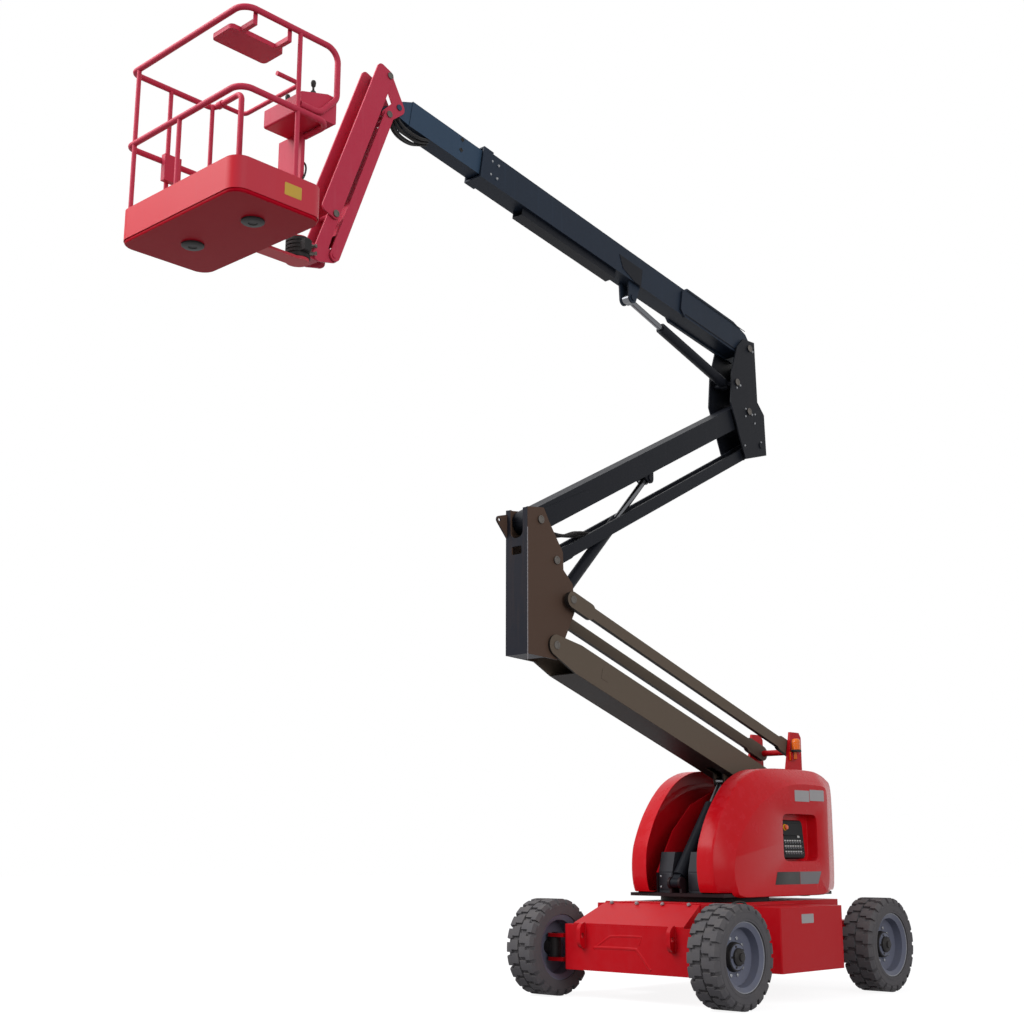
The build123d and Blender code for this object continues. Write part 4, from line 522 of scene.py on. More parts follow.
for corner in ("front_left", "front_right", "rear_left", "rear_right"):
    finish(grey_rubber, f"tyre_{corner}")
    finish(wheel_grey, f"rim_{corner}")
    middle = pivot[f"wheel_{corner}_spin"]
    outward = np.array([0, np.sign(middle[1]), 0])
    angle = np.arange(stud_count) * 2 * np.pi / stud_count
    circle = np.stack([np.cos(angle), 0 * angle, np.sin(angle)], axis=1)
    body = f"wheel_{corner}"
    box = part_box(f"rim_{corner}")
    edge = abs(box[1][1] if outward[1] > 0 else box[0][1]) - tyre_y
    tyre_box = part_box(f"tyre_{corner}")
    side = abs(tyre_box[1][1] if outward[1] > 0 else tyre_box[0][1]) - tyre_y
    piece(
        f"lip_{corner}", body, "rim_paint", lip_highlight_grey,
        (turned(lip, middle + outward * (edge - 0.006), outward, sides=72), "ring"),
    )
    piece(
        f"sidewall_{corner}", body, "grey_tyre", grey_rubber,
        (turned(rib, middle + outward * side, outward, sides=72), "ring"),
        (turned(rib_out, middle + outward * side, outward, sides=72), "ring"),
    )
    stud = middle + stud_circle * circle + outward * disc_face
    piece(f"studs_{corner}", body, "steel", zinc, *bolts(stud, outward, 0.012))
    ring = middle + hub_circle * circle[::2]
    piece(
        f"hub_{corner}", body, "black_plastic", hub_black,
        turned(cap, middle + outward * hub_top, outward, sides=36),
        turned(
            ((0.101, 0), (0.101, 0.012), (0.094, 0.040), (0.0925, 0.0405)),
            middle + outward * disc_face, outward, sides=48,
        ),
        *bolts(ring + outward * hub_top, outward, 0.008),
    )

# ----------------------------------------------
# Turntable: a thick deck on the slewing ring, with upright plates that hold the boom's pins,
# cast weights in the tail and dark sheet cabinets in the slot. The plates are red like the
# chassis; below a level just above the deck the frame's red is painted black, as painted shade
# under the covers.
# ----------------------------------------------
red_above = coated(
    "red gloss above a black deck", (190, 4, 20), dust_and_sheen=(120, 60, 64), mirror=0.12,
    painted_shade_below=(0.905, (20, 20, 23)), Dustiness=0.15,
)
finish(red_above, "turntable_frame")
finish(black_iron, "slew_ring", "counterweight")
dark_sheet = coated("dark sheet metal", (38, 40, 48), Polish=0.4, Dustiness=0.12)
finish(dark_sheet, "pump_unit", "slot_block")

# ----------------------------------------------
# Cabinets in the front of the slot, one on each side of the lifting cylinder: folded dark sheet
# with a screwed-on door that two quarter-turn latches hold.
# ----------------------------------------------
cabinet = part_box("slot_block")
front_face = cabinet[1][0] + 0.0002
for side, hand in ((1, "left"), (-1, "right")):
    middle = np.array([front_face, side * 0.140, 0.838])
    piece(
        f"cabinet_door_{hand}", "turntable", "dark_unit", dark_sheet,
        sheet_metal(rounded(0.118, 0.128, 0.010), middle, (0, 1, 0), UP, 0.003, 0.002),
    )
    piece(
        f"cabinet_latches_{hand}", "turntable", "steel", zinc,
        *[
            turned(
                ((0.009, 0), (0.009, 0.003), (0.006, 0.005), (0, 0.005)),
                middle + (0.003, side * 0.045, z), (1, 0, 0), sides=16,
            )
            for z in (-0.04, 0.04)
        ],
    )

# ----------------------------------------------
# Turntable covers: big shells of moulded plastic in the same red, glossier than the steelwork,
# that swing up on rails along the slot. Each is one moulding with a broad bevel round its outer
# face, and the left one has a deep niche for the ground control.
# ----------------------------------------------
# The shell's up-facing weathered layer is pale pink: it is a painted reflection of the sky on the faces
# and bevel that point up, over a little real soiling.
red_shell = coated(
    "red moulded shell", (198, 0, 14), dust_and_sheen=(214, 80, 96), Polish=0.2, Dustiness=0.24, Streaks=0.02,
    Peel=0.04, mirror=0.14,
)
cover_turns = (  # edge of the whole cover as x, z, then the edge of its outer face beside it as x, z
    (0.555, 0.90, 0.400, 0.93),
    (0.547, 1.06, 0.365, 1.06),
    (0.505, 1.18, 0.300, 1.16),
    (0.420, 1.33, 0.200, 1.275),
    (0.290, 1.485, 0.060, 1.39),
    (0.140, 1.605, -0.100, 1.478),
    (-0.050, 1.682, -0.250, 1.54),
    (-0.250, 1.707, -0.380, 1.575),
    (-0.500, 1.714, -0.550, 1.594),
    (-0.800, 1.714, -0.800, 1.592),
    (-0.950, 1.702, -0.900, 1.586),
    (-1.090, 1.655, -0.945, 1.565),
    (-1.166, 1.570, -0.962, 1.50),
    (-1.175, 1.200, -0.955, 1.20),
    (-1.165, 0.860, -0.950, 0.90),
    (-1.140, 0.765, -0.930, 0.795),
    (-1.060, 0.716, -0.870, 0.738),
    (-0.600, 0.712, -0.550, 0.729),
    (0.000, 0.712, -0.020, 0.729),
    (0.420, 0.716, 0.300, 0.735),
    (0.520, 0.765, 0.370, 0.80),
)
shell_inner, shell_face, shell_wall = 0.2405, 0.4695, 0.006
deck_edge = 0.4428  # the shell hangs past the deck from here outwards
# share of the way to the face, distance from the middle plane, lowest level above or outside the deck
cover_stations = (
    (0.0, shell_inner, 0.762),
    (0.0, 0.366, 0.762),
    (0.02, 0.378, 0.762),
    (0.07, 0.388, 0.762),
    (0.70, 0.4425, 0.762),
    (0.71, 0.4435, 0.0),
    (0.92, 0.459, 0.0),
    (0.98, 0.4655, 0.0),
    (1.03, shell_face, 0.0),
)


def closed_line(points, steps=5):
    """Points on a closed curve through the given ones, as the joined cubics of smooth_line."""
    looped = np.vstack([points[-2:], points, points[:3]])
    return smooth_line(*looped, steps=steps)[2 * steps : -2 * steps - 1]


def cover_row(share, y, lowest, draw_in=0.0):
    """One outline of the cover: share of the way from its whole edge to its face's edge, drawn in."""
    turns = closed_line(np.array(cover_turns))
    edge = turns[:, :2] * (1 - share) + turns[:, 2:] * share
    middle = edge.mean(axis=0)
    reach = np.linalg.norm(edge - middle, axis=1, keepdims=True)
    edge = middle + (edge - middle) * (1 - draw_in / reach)
    level = np.maximum(edge[:, 1], lowest + draw_in)
    return np.stack([slew[0] + edge[:, 0], 0 * level + y, level], axis=1)


def niche_row(y, grow=0.0):
    """The niche's outline on the same rays from its middle as the face's edge: a rounded rectangle.

    reach = ((|cos| / half width)^n + (|sin| / half height)^n)^(-1/n), with n the squareness.
    """
    half_width, half_height, squareness = 0.248 + grow, 0.182 + grow, 9
    middle = spot(-0.535, y, 1.172)
    ray = cover_row(1.03, y, 0.0) - middle
    ray /= np.linalg.norm(ray, axis=1, keepdims=True)
    wide = np.abs(ray[:, 0] / half_width) ** squareness
    tall = np.abs(ray[:, 2] / half_height) ** squareness
    reach = (wide + tall) ** (-1 / squareness)
    return middle + ray * reach[:, None]


for side, hand in ((1, "left"), (-1, "right")):
    outside = [cover_row(*station) for station in cover_stations]
    inside = [
        cover_row(share, y - shell_wall if low else max(y - shell_wall, deck_edge), low, shell_wall)
        for share, y, low in cover_stations
    ]
    inside[0][:, 1] = shell_inner
    if side > 0:
        rim = ((shell_face, 0.006), (0.4675, 0.0015), (0.464, 0.0), (0.378, 0.0), (0.3755, -0.004))
        outside += [niche_row(y, grow) for y, grow in rim]
        inside += [niche_row(0.4635, 0.012), niche_row(0.3695, 0.006)]
    shell = np.stack(inside[::-1] + outside) * (1, side, 1)
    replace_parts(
        piece(f"cover_shell_{hand}", f"cover_{hand}", "cover_plastic", red_shell, shell, crease=26),
        f"cover_{hand}",
    )
    piece(
        f"cover_latch_{hand}", "turntable", "steel", brass,
        sheet_metal(
            rounded(0.085, 0.05, 0.006), spot(-0.63, side * 0.425, 0.7205), (1, 0, 0), (0, 1, 0), 0.003,
            0.001,
        ),
        turned(
            ((0.012, 0), (0.012, 0.010), (0.009, 0.013), (0, 0.0135)),
            spot(-0.65, side * 0.425, 0.7235), (0, 0, 1), sides=16,
        ),
    )

# ----------------------------------------------
# Ground control: a black moulded box in the niche of the left cover, with a sloping panel, a
# raised lid, a mushroom stop button in a yellow collar and three rows of small toggle switches.
# ----------------------------------------------
control_black = coated(
    "black control moulding", (11, 12, 14), dust_and_sheen=(60, 60, 62), mirror=0.12, Polish=0.42, Dustiness=0.05,
    Peel=0.3,
)
control_wide, control_high, control_deep = 0.350, 0.300, 0.055
lean_out = np.array([0, -0.026, control_high])
panel_up = lean_out / np.linalg.norm(lean_out)
panel_out = np.cross(BACK, panel_up)
base = spot(-0.480, 0.4375, 1.010)


def on_panel(across, share, off=0.0006):
    """A point on the sloping panel: across it in metres, up it as a share of its height, and off it."""
    return base + np.array([across, 0, 0]) + lean_out * share + panel_out * off


control_body = piece(
    "control_body", "cover_left", "dark_unit", control_black,
    sheet_metal(
        rounded(control_wide, control_high, 0.030), on_panel(0, 0.5, -control_deep), BACK, panel_up,
        control_deep, 0.010,
    ),
)
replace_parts(control_body, "ground_control")
legend_white = coated("blank legend white", (206, 206, 204), Polish=0.4, Dustiness=0.1)
piece(
    "ground_panel", "cover_left", "dark_unit", control_black,
    sheet_metal(rounded(0.300, 0.150, 0.012), on_panel(0, 0.30), BACK, panel_up, 0.002),
    sheet_metal(rounded(0.270, 0.094, 0.014), on_panel(0, 0.75), BACK, panel_up, 0.010, 0.004),
)
grip = (
    (0.0065, 0), (0.0065, 0.003), (0.0026, 0.004), (0.0022, 0.014), (0.0034, 0.018), (0.0030, 0.021),
    (0, 0.022),
)
rows = [
    on_panel(x, share, 0.0025)
    for share in (0.13, 0.27, 0.41)
    for x in (-0.108, -0.072, -0.036, 0.0, 0.036, 0.072, 0.108)
]
piece(
    "ground_switches", "cover_left", "steel", zinc,
    *[turned(grip, point, panel_out + (0, 0, 0.25), sides=12) for point in rows],
)
piece(
    "ground_legends", "cover_left", "rim_paint", legend_white,
    *[
        sheet_metal(rounded(0.024, 0.009, 0.002), point + panel_up * 0.016, BACK, panel_up, 0.0006)
        for point in rows
    ],
    sheet_metal(rounded(0.030, 0.018, 0.002), on_panel(-0.090, 0.57), BACK, panel_up, 0.003),
)
stop_place = on_panel(0.105, 0.80, 0.010)
stop = ((0.011, 0), (0.011, 0.010), (0.019, 0.013), (0.020, 0.020), (0.015, 0.026), (0, 0.028))
piece(
    "ground_stop_ring",
    "cover_left",
    "amber",
    coated("yellow stop collar", (222, 168, 32), Polish=0.35, Dustiness=0.1),
    turned(
        ((0.026, 0), (0.026, 0.004), (0.024, 0.006), (0.012, 0.006)), stop_place, panel_out, sides=28,
    ),
)
piece(
    "ground_stop",
    "cover_left",
    "red_paint",
    coated("stop button orange red", (232, 88, 20), Polish=0.25, Dustiness=0.1, coat=0.4),
    turned(stop, stop_place, panel_out, sides=28),
)

# ----------------------------------------------
# Flashing beacon: a ribbed amber lens on a black rubber base, on a bolted red bracket at the side
# of the tower.
# ----------------------------------------------
amber = coated("amber lens", (238, 112, 12), dust_and_sheen=(190, 120, 60), Polish=0.14, Dustiness=0.08, coat=0.3)
finish(amber, "beacon")
beacon_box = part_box("beacon")
beacon_at = spot(-0.88, 0.245, 0)
lens_rows = np.linspace(1.893, beacon_box[1][2] - 0.024, 34)
ribs = 0.0355 + 0.0012 * np.cos((lens_rows - lens_rows[0]) * 2 * np.pi / 0.009)
piece(
    "beacon_lens", "turntable", "amber", amber,
    turned(
        [(0.030, 1.890), *zip(ribs, lens_rows), (0.0335, beacon_box[1][2] - 0.016)], beacon_at, UP,
        sides=36,
    ),
)
piece(
    "beacon_base", "turntable", "black_plastic", rubber,
    turned(
        ((0.0405, 1.8725), (0.0425, 1.8745), (0.0425, 1.8865), (0.0405, 1.8895), (0.036, 1.893)),
        beacon_at, UP, sides=36,
    ),
)
piece(
    "beacon_bracket", "turntable", "red_paint", red_gloss,
    sheet_metal(rounded(0.034, 0.062, 0.004), spot(-0.88, 0.262, 1.845), BACK, UP, 0.0012),
    sheet_metal(rounded(0.074, 0.074, 0.008), spot(-0.88, 0.2166, 1.840), BACK, UP, 0.0012),
    *bolts([spot(x, 0.2176, z) for x in (-0.906, -0.854) for z in (1.816, 1.864)], (0, 1, 0), 0.006),
)

# ----------------------------------------------
# Lower parallelogram and mid upright: welded plate in black chassis paint that has browned with
# clay dust. Every joint turns on a hardened pin with a chamfered end; those of the upper upright
# are held by keeper bolts.
# ----------------------------------------------
browned = {"Polish": 0.5, "Dustiness": 0.12, "Fading": 0.1, "Streaks": 0.1, "mirror": 0.1}
brown_black = coated("browned black paint", (20, 19, 21), dust_and_sheen=(112, 99, 86), Sides=0.72, **browned)
upright_black = coated(
    "black paint browned at the sides", (26, 31, 41), dust_and_sheen=(94, 72, 58), Sides=0.7, **browned,
)
finish(brown_black, "lower_boom", "lower_links")
finish(upright_black, "mid_upright")
pin_steel = coated("pin steel", (96, 92, 88), Polish=0.36, Dustiness=0.3, metal=0.6)
pin_end = (
    (0.033, 0), (0.0335, 0.004), (0.031, 0.007), (0.0235, 0.0075), (0.021, 0.004), (0.010, 0.0035),
    (0, 0.0035),
)
joints_at = {name: pivot[name][[0, 2]] - (slew[0], 0) for name in pivot}
joints_at["main_cylinder_base"] = np.array([-0.380, 5.0105])
pin_groups = (  # body, slot, half width to the pins' end faces, size against the pin end above, pins
    ("turntable", "steel", 0.2005, 1.0, ("lower_boom_lift", "lower_links_follow")),
    ("mid_upright", "steel", 0.1255, 0.9, ("mid_upright_level",)),
    ("mid_upright", "steel", 0.1705, 0.9, ("riser_barrel_swing",)),
    ("mid_upright", "steel", 0.1135, 0.9, ("riser_lift", "riser_links_follow")),
    (
        "upper_upright", "black_paint", 0.1285, 0.9,
        ("upper_upright_level", "main_boom_lift", "main_cylinder_base"),
    ),
    ("jib_base", "red_paint", 0.0945, 0.72, ("jib_lift", "jib_lower_arm_follow")),
    ("jib_head", "red_paint", 0.0945, 0.72, ("jib_head_level",)),
)
for order, (body, slot_name, half, size, names) in enumerate(pin_groups):
    ends = [
        turned(
            np.array(pin_end) * size, spot(joints_at[name][0], side * half, joints_at[name][1]),
            (0, side, 0), sides=30,
        )
        for name in names
        for side in (1, -1)
    ]
    piece(f"pin_ends_{order}", body, slot_name, pin_steel, *ends)
    if body == "upper_upright":
        keepers = [
            spot(joints_at[name][0] - 0.052 * size, side * (half - 0.007), joints_at[name][1] - 0.018)
            for name in names
            for side in (1, -1)
        ]
        piece(
            f"pin_keepers_{order}", body, "steel", zinc,
            *[g for k in keepers for g in bolt(k, (0, np.sign(k[1]), 0), 0.008)],
        )

lower_angle, lower_start = math.radians(18.4), spot(-0.832, 0, 1.544)


def on_beam(start, angle, along, across, y):
    """A point on a tilted beam: along it from its start, square to it upwards, and sideways."""
    run = np.array([math.cos(angle), 0, math.sin(angle)])
    rise = np.array([-math.sin(angle), 0, math.cos(angle)])
    return start + along * run + across * rise + np.array([0, y, 0])


lower_run = on_beam(np.zeros(3), lower_angle, 1, 0, 0)
lower_rise = on_beam(np.zeros(3), lower_angle, 0, 1, 0)
piece(
    "lower_boom_plates", "lower_boom", "black_paint", brown_black,
    *[
        sheet_metal(
            rounded(0.085, 0.085, 0.006),
            on_beam(lower_start, lower_angle, 2.42, 0.012, side * 0.1252),
            -lower_run * side,
            lower_rise,
            0.0014,
        )
        for side in (1, -1)
    ],
    *[
        weld(
            on_beam(lower_start, lower_angle, 2.66, -0.108, side * 0.118),
            on_beam(lower_start, lower_angle, 0.12, -0.108, side * 0.118),
            0.0035,
            0.02,
        )
        for side in (1, -1)
    ],
)
piece(
    "mid_upright_welds",
    "mid_upright",
    "steel",
    coated("worn weld edge", (128, 124, 128), Polish=0.4, Dustiness=0.2),
    weld(spot(2.2835, 0.1065, 2.36), spot(2.2835, 0.1065, 3.30), 0.0032, 0.03, lean=(1, 0, 0)),
)

# ----------------------------------------------
# Riser, upper upright and main boom: the same plate work in a bluer black that is newer. The
# riser's root has a tapered doubler on its left, and the main boom a bracket on each side.
# ----------------------------------------------
blue_black = coated(
    "bluish black paint", (19, 22, 29), dust_and_sheen=(70, 68, 70), Polish=0.42, Dustiness=0.1, Fading=0.06,
    mirror=0.1,
)
main_blue = coated(
    "weathered blue black paint", (20, 25, 34), dust_and_sheen=(70, 88, 112), Sides=0.12, Polish=0.42,
    Dustiness=0.1, Fading=0.1, mirror=0.1,
)
fly_blue = coated(
    "hazed blue black paint", (18, 26, 38), dust_and_sheen=(72, 96, 122), Sides=0.45, Polish=0.42, Dustiness=0.1,
    Fading=0.1, mirror=0.1,
)
finish(
    blue_black, "riser_boom", "riser_links", "upper_upright", "hose_tray", "lower_barrel",
    "riser_barrel", "main_barrel",
)
finish(main_blue, "main_boom")
finish(fly_blue, "fly_boom")
chrome = coated("chromed rod in shade", (104, 106, 110), Polish=0.22, Dustiness=0.1, metal=1.0)
finish(chrome, "lower_rod", "riser_rod", "main_rod")

riser_turn = math.radians(27.6)
riser_start = spot(2.14698, 0, 3.37508)
back_along = on_beam(np.zeros(3), math.pi - riser_turn, 1, 0, 0)
riser_up = on_beam(np.zeros(3), math.pi - riser_turn, 0, -1, 0)
tongue = np.array(
    [(0.0, 0.060), (0.55, 0.030), (0.575, 0.0), (0.55, -0.030), (0.30, -0.075), (0.0, -0.080)],
)
piece(
    "riser_doublers", "riser_boom", "black_paint", blue_black,
    sheet_metal(
        tongue, riser_start + 0.10 * back_along + (0, 0.0872, 0), back_along, riser_up, 0.003, 0.0015,
    ),
)
main_turn = math.radians(9.3)
main_start = spot(-0.59671, 0, 5.41096)
main_run = on_beam(np.zeros(3), main_turn, 1, 0, 0)
main_rise = on_beam(np.zeros(3), main_turn, 0, 1, 0)
collar = [
    on_beam(main_start, main_turn, along, across, side * 0.0752)
    for side in (1, -1)
    for along in (3.21, 3.28)
    for across in (0.055, -0.055)
]
piece(
    "collar_bolts", "main_boom", "steel", zinc,
    *[g for c in collar for g in bolt(c, (0, np.sign(c[1]), 0), 0.008)],
)
bracket = np.array([(-0.14, 0.05), (0.16, 0.05), (0.10, -0.05), (-0.06, -0.10), (-0.14, -0.10)])
piece(
    "main_boom_plates", "main_boom", "black_paint", blue_black,
    *[
        sheet_metal(
            bracket[::-side] * (-side, 1),
            on_beam(main_start, main_turn, 1.62, -0.02, side * 0.0752),
            main_run * -side,
            main_rise,
            0.004,
            0.0015,
        )
        for side in (1, -1)
    ],
    *[
        weld(
            on_beam(main_start, main_turn, 0.9, b, s * 0.098),
            on_beam(main_start, main_turn, 0.05, b, s * 0.098), 0.003, 0.02,
        )
        for s in (1, -1)
        for b in (0.112, -0.112)
    ],
)
grommet_edge = (
    (0.019, 0), (0.0195, 0.003), (0.016, 0.0045), (0.013, 0.0035), (0.012, 0.001), (0, 0.001),
)
grommets = [
    on_beam(main_start, main_turn, 3.58, across, side * 0.0603)
    for side in (1, -1)
    for across in (0.075, -0.012)
]
piece(
    "fly_grommets", "fly_boom", "black_plastic", rubber,
    *[turned(grommet_edge, g, (0, np.sign(g[1]), 0), sides=24, corners=4) for g in grommets],
)
upper_bolts = (
    (-0.381, 5.028), (-0.377, 4.961), (-0.5, 4.798), (-0.495, 4.731), (-0.64, 4.779), (-0.634, 4.696),
    (-0.719, 4.542), (-0.468, 4.463),
)
piece(
    "upper_upright_bolts", "upper_upright", "steel", zinc,
    *[
        g
        for x, z in upper_bolts
        for s in (1, -1)
        for g in bolt(spot(x, s * 0.1203, z), (0, s, 0), 0.007)
    ],
)

# ----------------------------------------------
# Hydraulic and control hoses: black rubber in bundles, held at both ends. Five loop below the nose
# of the fly boom to the jib, and five dive from the mid upright in between the riser's links.
# ----------------------------------------------
nose_hoses = [
    smooth_line(
        spot(3.06, y, 5.995 + rise),
        spot(3.20, y * 1.5, 5.955 + rise),
        spot(3.33, y * 2, 5.915 + rise),
        spot(3.46, y * 2, 5.93 + rise),
        spot(3.53, y * 1.6, 5.985 + rise),
        spot(3.50, y * 1.2, 6.035 + rise),
    )
    for y, rise in ((-0.026, 0.0), (-0.009, -0.012), (0.009, -0.004), (0.026, 0.006), (0.0, 0.014))
]
piece(
    "nose_hoses", "fly_boom", "black_plastic", rubber,
    *[carried(path, 0.0105, sides=10) for path in nose_hoses],
)
link_start = spot(1.978, 0, 3.1031)
link_steps = ((0.60, 0.02), (0.90, 0.0), (1.7, 0.0), (2.9, 0.0))  # along the links and above them
link_hoses = [
    smooth_line(
        *[
            link_start + along * back_along + (0, y, across)
            for along, across in ((0.05, 0.17 + lift), (0.20, 0.13), (0.38, 0.07 + lift), *link_steps)
        ]
    )
    for y, lift in ((-0.040, 0.02), (-0.022, 0.0), (-0.004, 0.03), (0.014, 0.01), (0.032, 0.025))
]
piece(
    "riser_hoses", "riser_links", "black_plastic", rubber,
    *[carried(path, 0.009, sides=8) for path in link_hoses],
)

# ----------------------------------------------
# Jib and platform: plate arms, a steel cage of bent tube and a pressed floor pan, in red that the
# sun has faded and hazed. A deeper red sheet closes the pan from below, with two rubber pads on it.
# ----------------------------------------------
red_faded = coated(
    "faded red paint", (186, 46, 72), dust_and_sheen=(196, 118, 130), Polish=0.4, Dustiness=0.14, Fading=0.1,
    mirror=0.14,
)
red_deep = coated(
    "red paint on the pan", (200, 34, 48), dust_and_sheen=(176, 78, 92), Sides=0.4, Polish=0.34, Dustiness=0.1,
    Fading=0.06, mirror=0.12,
)
finish(
    red_faded, "jib_base", "jib_upper_arm", "jib_lower_arm", "jib_head", "top_rail", "mid_rail",
    "rail_posts", "platform_shelf",
)
finish(red_faded, "console_stand", "document_box", "entry_bar", "control_console")
finish(red_deep, "platform_floor", "platform_carrier")
finish(black_iron, "rotator")

pan_low, pan_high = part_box("platform_floor")
sticker = coated("blank yellow plate", (198, 160, 62), Polish=0.4, Dustiness=0.15)
piece(
    "toe_band_plate", "platform", "amber", sticker,
    sheet_metal(
        rounded(0.125, 0.078, 0.006), (slew[0] + 4.848, pan_high[1] + 0.0002, 4.814), BACK, UP, 0.001,
    ),
)
red_belly = coated("deep red underside", (176, 4, 30), dust_and_sheen=(110, 24, 40), mirror=0.03, Dustiness=0.1)
belly_middle = ((pan_low[0] + pan_high[0]) / 2, 0, 4.720)
belly = rounded(pan_high[0] - pan_low[0] - 0.012, pan_high[1] - pan_low[1] - 0.012, 0.09, per=8)
piece(
    "pan_belly", "platform", "red_paint", red_belly,
    sheet_metal(belly, belly_middle, (1, 0, 0), (0, -1, 0), 0.026, 0.007),
)
pad_edge = ((0.070, 0), (0.070, 0.010), (0.062, 0.016), (0.030, 0.017), (0.026, 0.012), (0, 0.012))
pad_places = ((4.915, 0.311), (4.953, -0.242))
piece(
    "belly_pads", "platform", "black_plastic", rubber,
    *[turned(pad_edge, spot(x, y, 4.694), (0, 0, -1), sides=40) for x, y in pad_places],
)

# on the console two levers in rubber boots and a stop button, and a cable that leaves its stand
console_low, console_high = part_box("control_console")
stand_low, stand_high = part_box("console_stand")
middle_y = (console_low[1] + console_high[1]) / 2
lever = (
    (0.030, 0), (0.030, 0.004), (0.021, 0.012), (0.0145, 0.026), (0.0075, 0.030), (0.0065, 0.052),
    (0.014, 0.062), (0.0165, 0.084), (0.012, 0.096), (0, 0.098),
)
levers = [
    np.array([(console_low[0] + console_high[0]) / 2, middle_y + dy, console_high[2] - 0.012])
    for dy in (-0.13, 0.12)
]
piece(
    "console_levers", "platform", "black_plastic", rubber,
    *[turned(lever, at, (0, 0, 1), sides=22) for at in levers],
)
stop_at = np.array([(console_low[0] + console_high[0]) / 2, middle_y - 0.005, console_high[2] - 0.010])
piece(
    "console_stop", "platform", "red_paint", nodes["control_console"].data.materials[0],
    turned(stop, stop_at, (0, 0, 1), sides=24),
)
cable_start = np.array([stand_low[0] + 0.02, stand_high[1] - 0.03, stand_high[2] - 0.16])
cable_bends = (
    (0, 0, 0), (-0.03, 0.03, -0.05), (-0.02, 0.04, -0.12), (0.01, 0.03, -0.19), (0.03, 0.0, -0.26),
)
short_cable = smooth_line(*[cable_start + bend for bend in cable_bends])
piece("console_cable", "platform", "black_plastic", rubber, carried(short_cable, 0.006, lean=(1, 0, 0)))

# ----------------------------------------------
# Rotator fittings: six steel hose ends in two rows, screwed into the side of the rotary actuator
# below the jib head.
# ----------------------------------------------
rotator_foot = pivot["platform_rotate"] * (1, 1, 0) + (0, 0, 4.785)
fitting = (
    (0.014, 0), (0.014, 0.018), (0.010, 0.020), (0.010, 0.034), (0.013, 0.036), (0.013, 0.046),
    (0, 0.047),
)
places = [(a, h) for a in (2.2, 2.7, 3.3) for h in (-0.03, 0.02)]
piece(
    "rotator_fittings", "jib_head", "steel", pin_steel,
    *[
        turned(
            fitting, rotator_foot + (0.078 * np.cos(a), 0.078 * np.sin(a), h),
            (np.cos(a), np.sin(a), 0), sides=18, corners=6,
        )
        for a, h in places
    ],
)

# ----------------------------------------------
# Studio: a pale floor that runs to a white surround, a broad lamp high on the front left and a
# weaker one on the front right, and a camera at waist height off the steered end, looking up.
# ----------------------------------------------
def seen_plainly(tree, through=False):
    """1 for camera and mirror rays, and for rays through glass where asked, or else 0."""
    ray = node(tree, "ShaderNodeLightPath")
    kinds = ("Is Camera Ray", "Is Glossy Ray", "Is Transmission Ray")[: 3 if through else 2]
    seen = ray.outputs[kinds[0]]
    for kind in kinds[1:]:
        either = node(tree, "ShaderNodeMath", operation="MAXIMUM")
        tree.links.new(seen, either.inputs[0])
        tree.links.new(ray.outputs[kind], either.inputs[1])
        seen = either.outputs[0]
    return seen


def studio_floor(radius=60, sides=96, glow_strength=0.90):
    """A disc on the ground, radius * (cos, sin), paler to the camera and to mirrors than to lamps."""
    angle = np.linspace(0, 2 * np.pi, sides, endpoint=False)
    ring = np.stack([radius * np.cos(angle), radius * np.sin(angle), 0 * angle], axis=1)
    mesh = bpy.data.meshes.new("studio floor")
    mesh.from_pydata(ring.tolist(), [], [list(range(sides))])
    made = bpy.data.objects.new("studio floor", mesh)
    bpy.context.scene.collection.objects.link(made)
    material = bpy.data.materials.new("pale floor")
    material.use_nodes = True
    tree = material.node_tree
    tree.nodes.clear()
    out = node(tree, "ShaderNodeOutputMaterial")
    matt = node(tree, "ShaderNodeBsdfDiffuse")
    matt.inputs["Color"].default_value = (0.22, 0.22, 0.23, 1)
    glow = node(tree, "ShaderNodeEmission")
    glow.inputs["Color"].default_value = (1, 1, 1, 1)
    strength = node(tree, "ShaderNodeMath", operation="MULTIPLY")
    strength.inputs[1].default_value = glow_strength
    both = node(tree, "ShaderNodeAddShader")
    for start, end in (
        (seen_plainly(tree), strength.inputs[0]),
        (strength.outputs[0], glow.inputs["Strength"]),
        (matt.outputs[0], both.inputs[0]),
        (glow.outputs[0], both.inputs[1]),
        (both.outputs[0], out.inputs["Surface"]),
    ):
        tree.links.new(start, end)
    mesh.materials.append(material)
    return made


studio_floor()

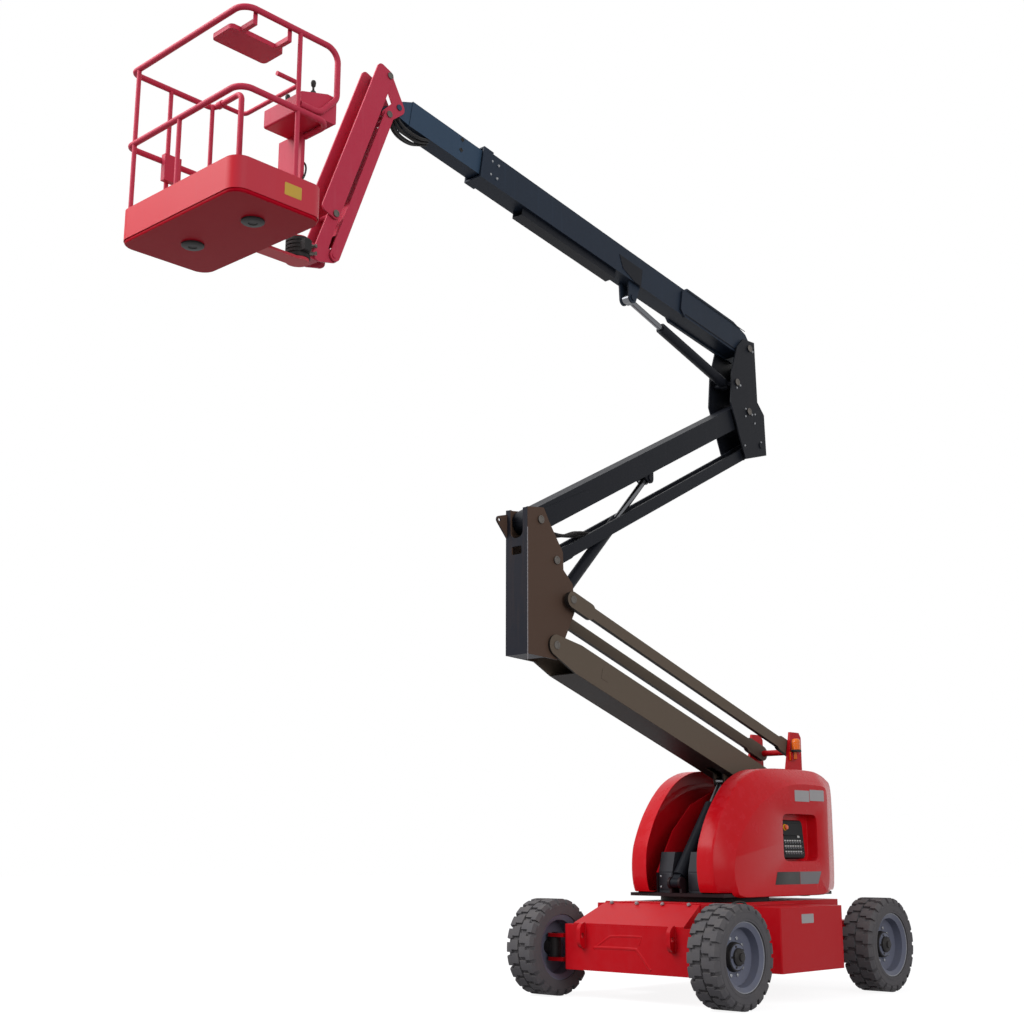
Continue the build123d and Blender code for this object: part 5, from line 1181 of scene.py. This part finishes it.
surround = bpy.data.worlds.new("pale surround")
bpy.context.scene.world = surround
surround.use_nodes = True
sky = surround.node_tree
sky.nodes.clear()
level = node(sky, "ShaderNodeMix", data_type="FLOAT")
level.inputs["A"].default_value = 0.5
level.inputs["B"].default_value = 1.0
air = node(sky, "ShaderNodeBackground")
air.inputs["Color"].default_value = (1, 1, 1, 1)
out = node(sky, "ShaderNodeOutputWorld")
sky.links.new(seen_plainly(sky, through=True), level.inputs["Factor"])
sky.links.new(level.outputs["Result"], air.inputs["Strength"])
sky.links.new(air.outputs[0], out.inputs["Surface"])


def lamp(name, size, power, position, aim):
    """A square area lamp of a size in metres and a power in watts, turned to face a point."""
    data = bpy.data.lights.new(name, "AREA")
    data.size = size
    data.energy = power
    made = bpy.data.objects.new(name, data)
    bpy.context.scene.collection.objects.link(made)
    made.location = position
    made.rotation_euler = (Vector(aim) - Vector(position)).to_track_quat("-Z", "Y").to_euler()


lamp("broad key lamp", 9.0, 1750, (slew[0] + 11, -5, 12), (slew[0] + 1.5, 0, 2.5))
lamp("soft fill lamp", 8.0, 700, (slew[0] + 6, 13, 6), (slew[0] + 1, 0, 2.5))

lens_millimetres, sensor_millimetres = 51.39158203125, 36.0
upward_tilt = 0.229223
lean = 0.0012208
bearing = 3.893003
ahead = np.array(
    [np.cos(upward_tilt) * np.cos(bearing), np.cos(upward_tilt) * np.sin(bearing), np.sin(upward_tilt)],
)
right = np.cross(ahead, [0, 0, 1])
right /= np.linalg.norm(right)
above = np.cross(right, ahead)
leaned_right = np.cos(lean) * right + np.sin(lean) * above
leaned_above = np.cos(lean) * above - np.sin(lean) * right
camera = bpy.data.objects.new("camera", bpy.data.cameras.new("camera"))
bpy.context.scene.collection.objects.link(camera)
camera.data.sensor_width = sensor_millimetres
camera.data.lens = lens_millimetres
stand = (slew[0] + 9.73987, slew[1] + 6.92109, 1.05006)
columns = np.stack([leaned_right, leaned_above, -ahead, stand], axis=1)
camera.matrix_world = Matrix([*columns.tolist(), [0, 0, 0, 1]])
camera.data.clip_end = 500
bpy.context.scene.camera = camera
bpy.context.scene.view_settings.view_transform = "Standard"
